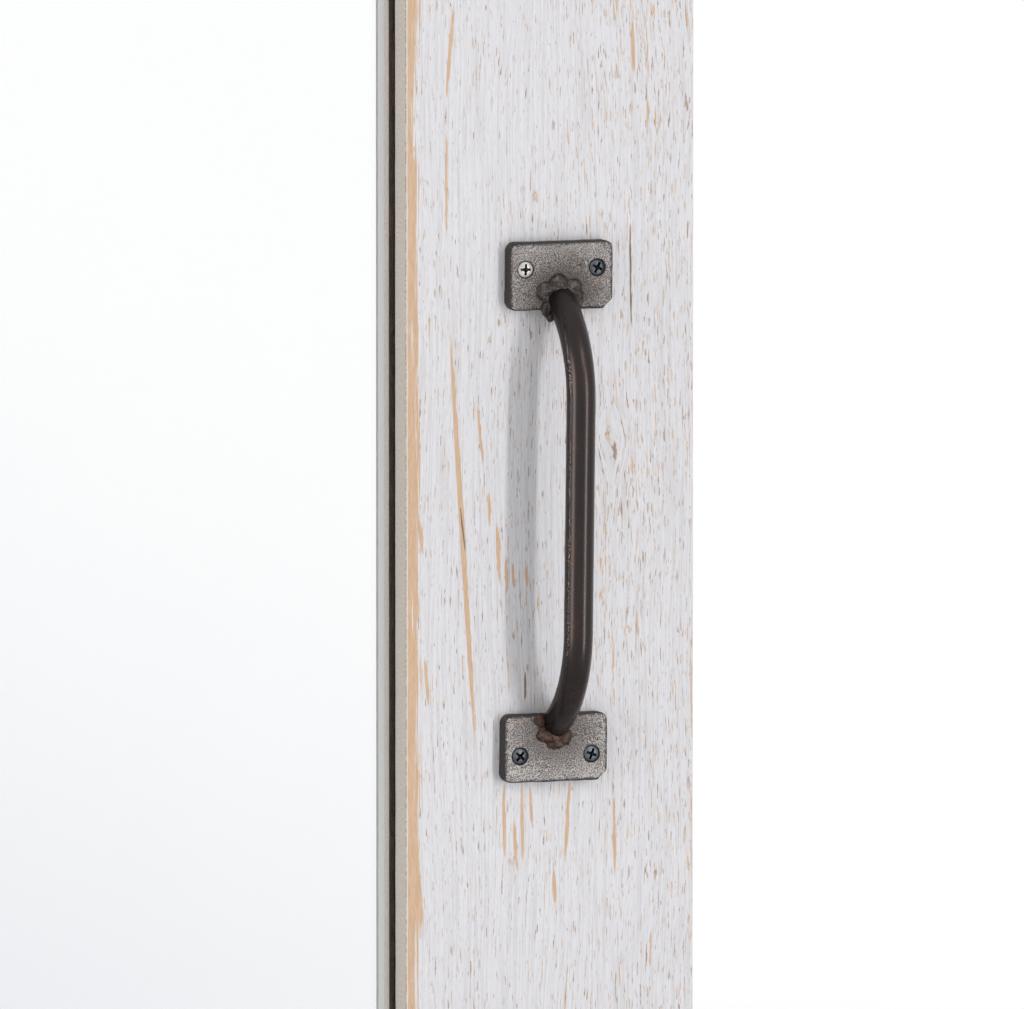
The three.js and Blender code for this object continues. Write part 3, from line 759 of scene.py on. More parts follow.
def ring(name: str, radius: float, depth: float, sides: int, filled: bool = True) -> bpy.types.Object:
    """A ring of points about the Y axis, at a depth along it, in millimetres."""
    alone()
    bpy.ops.mesh.primitive_circle_add(
        vertices=sides,
        radius=radius * MM,
        fill_type="NGON" if filled else "NOTHING",
        location=(0, depth * MM, 0),
        rotation=(math.pi / 2, 0, 0),
    )
    return adopt(name)


def turn(name: str, profile: Profile, sides: int = 32, hollow: bool = False) -> bpy.types.Object:
    """A turned shape about the Y axis, drawn ring by ring.

    Args:
        name: the piece's name.
        profile: (radius, y) of each ring in millimetres.
        sides: how many sides a ring has.
        hollow: True where the last ring meets the first, as round a bore.

    Returns:
        The piece.
    """
    radius, depth = profile[0]
    piece = ring(name, radius, depth, sides, not hollow)
    with editing(piece):
        bpy.ops.mesh.select_all(action="SELECT")
        for new_radius, new_depth in profile[1:]:
            step = (0, (new_depth - depth) * MM, 0)
            bpy.ops.mesh.extrude_region_move(TRANSFORM_OT_translate={"value": step})
            if new_radius != radius:
                share = new_radius / radius
                middle = (0, new_depth * MM, 0)
                bpy.ops.transform.resize(value=(share, 1, share), center_override=middle)
            radius, depth = new_radius, new_depth
    return finish_mesh(piece)


def pick(piece: bpy.types.Object, kind: str, test: Callable[..., bool]) -> None:
    """Selects a piece's edges or faces in code, for the next time it is opened.

    Args:
        piece: the piece.
        kind: EDGE or FACE.
        test: takes an edge's two ends, or a face's middle and its normal. Places are in millimetres.
    """
    mesh = piece.data
    for vertex in mesh.vertices:
        vertex.select = False
    for face in mesh.polygons:
        face.select = kind == "FACE" and test(face.center / MM, face.normal)
    for edge in mesh.edges:
        ends = [mesh.vertices[i].co / MM for i in edge.vertices]
        edge.select = kind == "EDGE" and test(*ends)


def bevel(piece: bpy.types.Object, test: Callable[..., bool], width: float, segments: int = 2) -> None:
    """Bevels the edges that pass a test, by a width in millimetres."""
    pick(piece, "EDGE", test)
    with editing(piece, "EDGE"):
        bpy.ops.mesh.bevel(offset=width * MM, segments=segments, affect="EDGES", profile=0.5)


def modify(piece: bpy.types.Object, kind: str, **settings: Any) -> None:
    """Puts a modifier on a piece and applies it."""
    alone(piece)
    modifier = piece.modifiers.new(kind.lower(), kind)
    for key, value in settings.items():
        setattr(modifier, key, value)
    bpy.ops.object.modifier_apply(modifier=modifier.name)


def carve(piece: bpy.types.Object, tools: Sequence[bpy.types.Object]) -> None:
    """Cuts each tool out of a piece, and removes the tool."""
    for tool in tools:
        modify(piece, "BOOLEAN", operation="DIFFERENCE", object=tool, solver="EXACT")
        bpy.data.objects.remove(tool)


def trim_behind(piece: bpy.types.Object, depth: float) -> None:
    """Cuts off what lies behind a depth along Y, in millimetres, and closes the cut."""
    with editing(piece):
        bpy.ops.mesh.select_all(action="SELECT")
        bpy.ops.mesh.bisect(plane_co=(0, depth * MM, 0), plane_no=(0, 1, 0), clear_outer=True, use_fill=True)


def roughen(piece: bpy.types.Object, size: float, amount: float, group: str = "") -> None:
    """Pushes a piece's surface in and out by noise.

    Args:
        piece: the piece.
        size: how broad the noise is, in millimetres.
        amount: how far it moves a point from end to end, in millimetres.
        group: the vertex group that it keeps to, or none.
    """
    clouds = bpy.data.textures.new(f"{piece.name}_unevenness", "CLOUDS")
    clouds.noise_scale = size * MM
    settings = {"texture": clouds, "strength": amount * MM, "mid_level": 0.5, "texture_coords": "LOCAL"}
    modify(piece, "DISPLACE", vertex_group=group, **settings)
    bpy.data.textures.remove(clouds)


def twin(piece: bpy.types.Object, name: str, move: Matrix) -> bpy.types.Object:
    """A copy of a piece with its own mesh, moved as the matrix says."""
    alone(piece)
    bpy.ops.object.duplicate(linked=False)
    copy = bpy.context.object
    copy.name = copy.data.name = name
    copy.matrix_world = move
    settle(copy)
    return copy


def shift(x: float = 0.0, y: float = 0.0, z: float = 0.0) -> Matrix:
    """A move in millimetres."""
    return Matrix.Translation(Vector((x, y, z)) * MM)


def swing(degrees: float, axis: str) -> Matrix:
    """A turn about an axis through the origin."""
    return Matrix.Rotation(math.radians(degrees), 4, axis)


def cutters(profile: Profile, sides: int, moves: Sequence[Matrix]) -> list[bpy.types.Object]:
    """Turned tools of one profile, one for each move."""
    pattern = turn("cutter", profile, sides)
    tools = [twin(pattern, "cutter_copy", move) for move in moves]
    bpy.data.objects.remove(pattern)
    return tools


def node_box(node: str) -> tuple[Vector, Vector]:
    """The two corners of a CAD node, in millimetres."""
    low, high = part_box(node)
    return low / MM, high / MM


def node_middle(node: str) -> Vector:
    """The middle of a CAD node's box, in millimetres."""
    return sum(node_box(node), Vector()) / 2


def over(node: str) -> Matrix:
    """The move along the wall that brings a shape about the Y axis to a CAD node's middle."""
    middle = node_middle(node)
    return shift(middle.x, 0, middle.z)


def place(
    piece: bpy.types.Object,
    body: str,
    finish: bpy.types.Material,
    nodes: Sequence[str] = (),
) -> None:
    """Gives a finished piece its finish, its body and the CAD nodes that it stands for.

    Args:
        piece: the finished piece.
        body: the CAD body that it rides on.
        finish: its material.
        nodes: the CAD nodes that it replaces.
    """
    if not piece.data.materials:
        piece.data.materials.append(finish)
    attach(piece, body)
    if nodes:
        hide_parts(*nodes)
    LOG.info("%s rides on %s with %d faces", piece.name, body, len(piece.data.polygons))


def dress(node: str, finish: bpy.types.Material) -> None:
    """Gives a CAD node that is kept its finish."""
    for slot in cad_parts[node].material_slots:
        slot.material = finish
    LOG.info("%s keeps its CAD shape with %s", node, finish.name)


# ------------------------------------------------------------------ the frame and the mirror


@dataclass
class MirrorFrame:
    """The pine frame with its glass, silvering, foam, backing board and keyhole plates."""

    silvering_thickness: float = 0.06
    glass_gap: float = 0.02
    bare_rim: float = 0.6
    pale_band_from: float = 121.8

    def build(self) -> None:
        """Dresses the boards and makes the glass and the silvering."""
        self.dress_boards()
        low, high = node_box("mirror_glass")
        film = self.silvering_thickness
        pane = block("mirror_pane", low, (high.x, high.y - film - self.glass_gap, high.z))
        bevel(pane, lambda a, b: True, 0.5, 2)
        glass = ClearGlass("float_glass", tuple(low), tuple(high), high.x - self.pale_band_from)
        place(finish_mesh(pane, 20), "frame", glass.material(), ["mirror_glass"])

        rim = self.bare_rim
        film_low = (low.x + rim, high.y - film, low.z + rim)
        silver = block("mirror_silvering", film_low, (high.x - rim, high.y, high.z - rim))
        bevel(silver, lambda a, b: abs(a.y - b.y) > film / 2, 1.0, 2)
        silver.data.materials.append(Silver().material())
        backing = Coat("backing_paint", tone(96, 104, 110), tone(112, 119, 124), (0.1, 0.1, 0.1))
        silver.data.materials.append(backing.material())
        pick(silver, "FACE", lambda middle, normal: normal.y > -0.5)
        for face in silver.data.polygons:
            face.material_index = int(face.select)
        place(finish_mesh(silver, 20), "frame", silver.data.materials[0], ["mirror_glass"])

    def dress_boards(self) -> None:
        """Gives the CAD boards, the foam, the backing board and the keyhole plates their finishes."""
        boards = {"left_stile": 1.0, "right_stile": 2.0, "top_rail": 3.0, "bottom_rail": 4.0}
        for name, seed in boards.items():
            low, high = node_box(name)
            grain = Grain.LEVEL if "rail" in name else Grain.UPRIGHT
            wash = Whitewash(f"whitewash_{name}", tuple(low), tuple(high), grain, seed, wear=-0.02)
            dress(name, wash.material())
        whites, browns = (tone(238, 237, 230), tone(226, 225, 217)), (tone(133, 104, 74), tone(110, 84, 58))
        greys = (tone(188, 191, 194), tone(160, 164, 168))
        foam = Coat("closed_cell_foam", *whites, (0.9, 0.9, 0.9), roughness=(0.8, 0.95), tooth=0.1)
        dress("foam_pad", foam.material())
        board = Coat("hardboard", *browns, (0.5, 0.5, 0.5), roughness=(0.7, 0.85), tooth=0.06)
        dress("backing_board", board.material())
        streaked = (0.5, 0.5, 0.06)
        zinc = Coat("zinc_plating", *greys, streaked, metallic=0.95, roughness=(0.25, 0.45), tooth=0.02)
        material = zinc.material()
        for side in Side:
            dress(f"{side.name.lower()}_keyhole_plate", material)


# ------------------------------------------------------------------ the rail and the channel


@dataclass
class SlideRail:
    """The flat bar that the wheels run on, with its bolts, spacers and stops, and the channel below."""

    edge: float = 0.7
    bore: float = 3.3
    sheet: float = 2.0
    shoulder: float = 3.6
    slack: float = 0.3
    beyond: float = 2.0
    spots: tuple[str, ...] = ("left", "middle", "right")

    def build(self) -> None:
        """Makes the bar, its bolts, its stops and the channel."""
        iron = Iron("waxed_iron_rail", tone(54, 49, 47), tone(76, 62, 54), 1.0, 0.60)
        self.iron = iron.material()
        black = Iron("black_oxide_bolts", tone(40, 42, 45), tone(66, 66, 68), 2.0, 0.6, (0.3, 0.5))
        self.black = black.material()
        self.build_bar()
        self.build_bolts()
        self.build_stops()
        self.build_channel()

    def build_bar(self) -> None:
        """The flat bar with eased edges and three bored holes."""
        low, high = node_box("slide_rail")
        bar = block("rail_bar", low, high)
        bevel(bar, lambda a, b: True, self.edge, 2)
        through = [(self.bore, low.y - self.beyond), (self.bore, high.y + self.beyond)]
        carve(bar, cutters(through, 32, [over(f"{spot}_rail_bolt") for spot in self.spots]))
        place(finish_mesh(bar), "frame", self.iron, ["slide_rail"])

    def build_bolts(self) -> None:
        """Three lag bolts with chamfered hexagonal heads, and the spacers behind the bar."""
        low, high = node_box("middle_rail_bolt")
        top = (high.z - low.z) / 2
        face = low.y
        shank = [(2.9, face + 1.8), (2.9, high.y - 3.4), (2.4, high.y - 2.2), (0.5, high.y - 0.1)]
        chamfer = [(top * 0.80, face), (top * 0.86, face + 0.15), (top, face + 0.9)]
        sources = (
            turn("bolt_head", [*chamfer, (top, face + 1.8), (top, face + 2.3)], 6),
            turn("bolt_shank", shank, 24),
        )
        for spot, angle in zip(self.spots, (11.0, 37.0, -8.0)):
            node = f"{spot}_rail_bolt"
            move = over(node) @ swing(angle, "Y")
            bolt = join(f"{spot}_lag_bolt", [twin(source, f"{source.name}_copy", move) for source in sources])
            place(finish_mesh(bolt, 25), "frame", self.black, [node])
            dress(f"{spot}_rail_spacer", self.iron)
        for source in sources:
            bpy.data.objects.remove(source)

    def build_stops(self) -> None:
        """A saddle astride the bar at each end and in the middle, with rounded shoulders."""
        beyond, slack = self.beyond, self.slack
        bar_low, bar_high = node_box("slide_rail")
        for node, spot in zip(("left_end_stop", "centre_stop", "right_end_stop"), self.spots):
            low, high = node_box(node)
            saddle = block(f"{spot}_stop", low, high)
            bevel(saddle, lambda a, b: min(a.z, b.z) > high.z - 0.1 and abs(a.y - b.y) > 1, self.shoulder, 5)
            bevel(saddle, lambda a, b: abs(a.y - b.y) < 0.01, 0.5, 2)
            slot_low = (low.x - beyond, bar_low.y - slack, low.z - beyond)
            slot_high = (high.x + beyond, bar_high.y + slack, bar_high.z + slack)
            carve(saddle, [block("slot", slot_low, slot_high)])
            place(finish_mesh(saddle, 30), "frame", self.iron, [node])

    def build_channel(self) -> None:
        """The channel in which the shutters' feet run, folded from sheet, and its screws."""
        low, high = node_box("bottom_channel")
        sheet, beyond = self.sheet, self.beyond
        bar = block("foot_channel", low, high)
        inner_low = (low.x - beyond, low.y + sheet, low.z + sheet)
        inner_high = (high.x + beyond, high.y + beyond, high.z + beyond)
        carve(bar, [block("fold", inner_low, inner_high)])

        def at_fold(a: Vector, b: Vector) -> bool:
            """Whether an edge is the long one at the foot of the front."""
            return abs(a.x - b.x) > 100 and max(a.z, b.z) < low.z + 0.1 and max(a.y, b.y) < low.y + 0.1

        bevel(bar, at_fold, 1.5, 4)
        bevel(bar, lambda a, b: abs(a.x - b.x) > 100 and min(a.z, b.z) > high.z - 0.1, 0.5, 2)
        moves = []
        for spot in self.spots:
            node = f"{spot}_channel_screw"
            middle = node_middle(node)
            moves.append(shift(middle.x, middle.y, low.z) @ swing(90, "X"))
            dress(node, self.black)
        carve(bar, cutters([(3.3, -2), (3.3, 0.05), (1.8, 1.55), (1.8, 5)], 24, moves))
        place(finish_mesh(bar), "frame", self.iron, ["bottom_channel"])


# ------------------------------------------------------------------ the shutters

# The right plank's main bare streaks. Their ends are in whole and half millimetres, their half widths in
# tenths. Across is from the plank's left arris, and up is from the origin.
LONG_STREAK = (Flame((19.0, -291), (30.0, -461), 1.2),)
LEFT_MARGIN = (
    Flame((0.5, -361), (5.0, -411), 1.4),
    Flame((5.5, -368), (7.0, -382), 0.9),
    Flame((8.0, -425), (9.5, -444), 0.7),
    Flame((1.0, -478), (6.5, -536), 1.9),
)
TOP_STREAKS = (
    Flame((20.5, -160), (17.5, -196), 0.8),
    Flame((17.5, -209), (17.5, -254), 0.6),
    Flame((99.0, -168), (99.5, -190), 0.8),
    Flame((98.0, -250), (98.5, -292), 0.5, True),
)
BY_THE_GRIP = (
    Flame((31.0, -322), (33.5, -347), 0.6),
    Flame((36.0, -358), (36.5, -373), 0.7),
    Flame((39.5, -371), (41.0, -396), 0.9),
    Flame((43.5, -385), (44.0, -399), 0.7),
    Flame((46.5, -388), (47.0, -398), 0.6),
    Flame((52.5, -388), (53.0, -398), 0.8),
    Flame((23.5, -364), (25.5, -381), 0.4, True),
    Flame((52.0, -432), (52.0, -445), 0.5, True),
)
BELOW_THE_PLATE = (
    Flame((42.5, -479), (43.0, -509), 0.8),
    Flame((47.0, -494), (48.5, -514), 0.8),
    Flame((50.5, -479), (51.0, -510), 0.8),
    Flame((54.0, -479), (55.0, -496), 0.7),
    Flame((71.5, -479), (69.5, -510), 0.8),
    Flame((64.5, -515), (65.0, -528), 0.9),
    Flame((91.0, -485), (91.5, -518), 0.7),
)
RIGHT_FLAMES = LONG_STREAK + LEFT_MARGIN + TOP_STREAKS + BY_THE_GRIP + BELOW_THE_PLATE
RIGHT_KNOT = (90.0, -339.0)
PLANK_MIDDLE = (63.0, -367.0)


@dataclass
class Shutter:
    """One plank with its arrises eased by hand."""

    side: Side
    arris: float = 0.7
    wobble: float = 0.25

    def build(self) -> None:
        """Makes the plank with its uneven arrises."""
        word = self.side.name.lower()
        node = f"{word}_shutter_panel"
        low, high = node_box(node)
        plank = block(f"{word}_plank", low, high)
        pick(plank, "EDGE", lambda a, b: abs(a.z - b.z) > 100)
        with editing(plank, "EDGE"):
            bpy.ops.mesh.subdivide(number_cuts=160)
        corner = 0.01
        bevel(
            plank,
            lambda a, b: abs(a.z - b.z) > 1 and self.at_corner(a, low, high, corner),
            self.arris,
            3,
        )
        bevel(plank, lambda a, b: abs(a.z - b.z) < corner and self.at_end(a, low, high), 0.5, 1)
        group = plank.vertex_groups.new(name="arris")
        inset = Vector((1, 1, 1)) * self.arris * 1.05
        inner_low, inner_high = low + inset, high - inset
        for vertex in plank.data.vertices:
            at = vertex.co / MM
            outside_x = at.x < inner_low.x or at.x > inner_high.x
            outside_y = at.y < inner_low.y or at.y > inner_high.y
            skin = min(at.x - low.x, high.x - at.x, at.y - low.y, high.y - at.y)
            if outside_x and outside_y and skin > 0.05:
                group.add([vertex.index], 1.0, "REPLACE")
        roughen(plank, 5.0, self.wobble, "arris")
        plank.vertex_groups.clear()
        wash = self.wash(word, low, high)
        place(finish_mesh(plank, 40), f"{word}_shutter", wash, [node])

    @staticmethod
    def at_corner(at: Vector, low: Vector, high: Vector, slack: float) -> bool:
        """Whether a point lies on one of the four long arrises."""
        in_x = min(abs(at.x - low.x), abs(at.x - high.x)) < slack
        return in_x and min(abs(at.y - low.y), abs(at.y - high.y)) < slack

    @staticmethod
    def at_end(at: Vector, low: Vector, high: Vector) -> bool:
        """Whether a point lies on the plank's top or foot."""
        return min(abs(at.z - low.z), abs(at.z - high.z)) < 0.01

    def wash(self, word: str, low: Vector, high: Vector) -> bpy.types.Material:
        """The plank's own whitewash. The left plank has the right one's streaks turned over."""
        seed, margins, flames, knot = 5.0, (5.6, -0.2), RIGHT_FLAMES, RIGHT_KNOT
        if self.side is Side.LEFT:
            seed, margins = 6.0, margins[::-1]
            flames = tuple(flame.turned_over(PLANK_MIDDLE) for flame in flames)
            knot = opposite(knot, PLANK_MIDDLE)
        box = (tuple(low), tuple(high))
        finish = Whitewash(f"whitewash_{word}", *box, seed=seed, margins=margins, flames=flames, knot=knot)
        return finish.material()


@dataclass
class Handle:
    """A bowed iron bar welded to two clipped plates, each held by two recessed screws."""

    side: Side
    bar: float = 5.95
    standoff: float = 22.3
    bend: float = 45.0
    root_spacing: float = 172.0
    pitch: float = 193.0
    aside: float = 1.2
    lean: float = 0.7
    screw_spread: float = 15.7
    screw_offset: float = 3.0
    screw_sunk: float = 0.55
    plate_width: float = 45.2
    plate_height: float = 27.8

    def build(self) -> None:
        """Makes the bar with its welds, the two plates and the four screws."""
        self.word = self.side.name.lower()
        self.body = f"{self.word}_shutter"
        low, high = node_box(f"{self.word}_handle_upper_plate")
        self.plate_front, self.plate_back = low.y, high.y
        panel_low, panel_high = node_box(f"{self.word}_shutter_panel")
        centre = (panel_low + panel_high) / 2
        self.stand = shift(centre.x + self.side.value * self.aside, 0, centre.z) @ swing(self.lean, "Y")
        self.build_bar()
        for end in End:
            self.build_weld(end)
            self.build_plate(end)
        self.build_screws()

    def build_bar(self) -> None:
        """The bar: half of it is drawn and spun, then mirrored, and its ends are cut at the plates' face."""
        angle = math.acos(1 - self.standoff / self.bend)
        grip = self.root_spacing / 2 - self.bend * math.sin(angle)
        middle = self.plate_front - self.standoff
        alone()
        bpy.ops.mesh.primitive_circle_add(
            vertices=40, radius=self.bar * MM, fill_type="NOTHING", location=(0, middle * MM, 0)
        )
        bar = adopt(f"{self.word}_bowed_bar")
        with editing(bar):
            bpy.ops.mesh.select_all(action="SELECT")
            steps = 8
            for _ in range(steps):
                bpy.ops.mesh.extrude_region_move(TRANSFORM_OT_translate={"value": (0, 0, -grip / steps * MM)})
            pivot = (0, (middle + self.bend) * MM, -grip * MM)
            bpy.ops.mesh.spin(steps=20, angle=-angle, center=pivot, axis=(1, 0, 0))
            step = (0, 4 * math.sin(angle) * MM, -4 * math.cos(angle) * MM)
            bpy.ops.mesh.extrude_region_move(TRANSFORM_OT_translate={"value": step})
        modify(bar, "MIRROR", use_axis=(False, False, True), use_mirror_merge=True, merge_threshold=1e-5)
        trim_behind(bar, self.plate_front - 0.04)
        roughen(bar, 14.0, 0.10)
        bar.matrix_world = self.stand
        settle(bar)
        tones = (tone(54, 49, 48), tone(68, 52, 46))
        finish = Iron(f"burnished_bar_{self.word}", *tones, 3.0, 0.60, (0.24, 0.34), 0.9, 0.015)
        place(finish_mesh(bar, 50), self.body, finish.material(), [f"{self.word}_handle_bar"])

    def build_weld(self, end: End) -> None:
        """The weld round a root of the bar: beads run together, cut flat at the plate's face."""
        root = end.value * self.root_spacing / 2
        face = self.plate_front
        steep = 1 / math.sin(math.acos(1 - self.standoff / self.bend))
        away = root + end.value * (self.bar * steep)
        if end is End.UPPER:
            shapes = [
                ((-1.4, face, away + 0.2), (4.6, 2.5, 4.4)),
                ((4.8, face, away - 1.2), (4.6, 1.7, 3.6)),
                ((-6.8, face, away - 2.6), (4.4, 1.3, 4.2)),
                ((-6.0, face, root - 2.8), (3.0, 2.2, 4.0)),
                ((7.2, face, root + 1.4), (2.6, 1.9, 4.0)),
                ((-5.0, face - 0.2, root - 6.2), (1.9, 2.0, 2.0)),
            ]
        else:
            shapes = [
                ((-2.6, face, away + 1.8), (6.2, 2.4, 3.4)),
                ((-0.2, face, away - 1.0), (4.2, 1.8, 3.4)),
                ((3.4, face, away + 0.8), (3.4, 2.2, 3.8)),
                ((-6.2, face, root + 0.4), (2.4, 1.8, 3.6)),
                ((6.0, face, root + 2.0), (2.0, 1.9, 3.4)),
                ((-6.6, face, root + 1.0), (3.6, 1.0, 2.4)),
            ]
        beads = [lump(f"bead_{i}", *shape) for i, shape in enumerate(shapes)]
        weld = join(f"{self.word}_{end.name.lower()}_weld", beads)
        modify(weld, "REMESH", mode="VOXEL", voxel_size=0.32 * MM, use_smooth_shade=True)
        roughen(weld, 1.8, 1.1)
        roughen(weld, 0.8, 0.5)
        modify(weld, "SMOOTH", factor=0.5, iterations=1)
        trim_behind(weld, face - 0.03)
        weld.matrix_world = self.stand
        settle(weld)
        name = f"weld_{self.word}_{end.name.lower()}"
        if end is End.UPPER:
            finish = Slag(name, tone(33, 28, 26), tone(84, 75, 70), tone(52, 40, 34), 4.0)
        else:
            finish = Slag(name, tone(36, 26, 20), tone(88, 66, 48), tone(72, 38, 30), 5.0)
        place(finish_mesh(weld, 60), self.body, finish.material())

    def build_plate(self, end: End) -> None:
        """A clipped plate with rounded corners, sunk holes and a rough face."""
        half_width, half_height = self.plate_width / 2, self.plate_height / 2
        front, back = self.plate_front, self.plate_back
        word = end.name.lower()
        middle = end.value * self.pitch / 2
        corners = (-half_width, front, -half_height), (half_width, back, half_height)
        plate = block(f"{self.word}_{word}_plate", *corners)
        bevel(plate, lambda a, b: abs(a.y - b.y) > 1 and a.x > 0 and a.z < 0, 4.0, 1)
        bevel(plate, lambda a, b: abs(a.y - b.y) > 1 and not (a.x > 0 and a.z < 0), 3.4, 6)
        bevel(plate, lambda a, b: max(a.y, b.y) < front + 0.01, 0.7, 3)
        sink = [(3.6, -2), (3.6, 0.3), (2.1, 3.6), (2.1, back - front + 2)]
        height = end.value * self.screw_offset
        moves = [shift(side.value * self.screw_spread, front, height) for side in Side]
        carve(plate, cutters(sink, 40, moves))
        modify(plate, "REMESH", mode="VOXEL", voxel_size=0.5 * MM, use_smooth_shade=True)
        roughen(plate, 6.0, 0.35)
        roughen(plate, 1.6, 0.14)
        modify(plate, "SMOOTH", factor=0.5, iterations=1)
        plate.matrix_world = self.stand @ shift(0, 0, middle)
        settle(plate)
        centre = self.stand @ (Vector((0, front, middle)) * MM) / MM
        root = end.value * (self.root_spacing / 2 + 4 - self.pitch / 2)
        pale, burnt = (tone(172, 167, 164), 0.95) if end is End.UPPER else (tone(192, 188, 185), 0.7)
        seed = 1.0 + end.value * 0.5
        half = (half_width, half_height)
        finish = Scale(f"scale_{self.word}_{word}", tuple(centre), half, root, seed, pale, burnt)
        nodes = [f"{self.word}_handle_{word}_plate"]
        place(finish_mesh(plate, 60), self.body, finish.material(), nodes)

    def build_screws(self) -> None:
        """One recessed screw, drawn once and copied to the four holes, each turned its own way."""
        head = [(1.0, -0.62), (2.1, -0.52), (3.0, -0.22), (3.35, 0.1), (3.2, 0.45)]
        shank = [(1.6, 2.2), (1.6, 11.5), (0.4, 14.6)]
        screw = turn("screw_pattern", head + shank, 40)
        reach, half = 2.3, 0.55
        arms = [block("arm", (-x, -2, -z), (x, 1.0, z)) for x, z in ((reach, half), (half, reach))]
        carve(screw, [*arms, lump("hollow", (0, -0.2, 0), (1.15, 1.6, 1.15), 2)])
        finish_mesh(screw, 30)
        sunk = self.screw_sunk
        # The painted shade of the recess starts here, a little behind the head's face.
        recess_shade_depth = self.plate_front + sunk - 0.15
        tones = (tone(60, 66, 72), tone(98, 103, 110))
        material = Iron(
            f"blue_black_screws_{self.word}", *tones, 6.0, 0.5, (0.28, 0.48), 0.8, 0.03, recess_shade_depth
        ).material()
        # One head is pale: rubbed metal, and a painted glint on its face.
        tones = (tone(168, 164, 160), tone(214, 211, 206))
        pale = Iron(f"rubbed_screw_{self.word}", *tones, 7.0, 0.45, (0.3, 0.5), 0.5, 0.03, recess_shade_depth)
        turns = {End.UPPER: (2.0, 25.0), End.LOWER: (40.0, 20.0)}
        for end in End:
            for place_of, angle in zip(Side, turns[end]):
                spot = f"{end.name}_{place_of.name}".lower()
                z = end.value * (self.pitch / 2 + self.screw_offset)
                turned = swing(angle + (0 if self.side is Side.RIGHT else 33.0), "Y")
                hole = shift(place_of.value * self.screw_spread, self.plate_front + sunk, z)
                copy = twin(screw, f"{self.word}_{spot}_recessed_screw", self.stand @ hole @ turned)
                copy.data.materials.clear()
                rubbed_and_glinting = (end, place_of, self.side) == (End.UPPER, Side.LEFT, Side.RIGHT)
                finish = pale.material() if rubbed_and_glinting else material
                place(copy, self.body, finish, [f"{self.word}_handle_{spot}_screw"])
        bpy.data.objects.remove(screw)


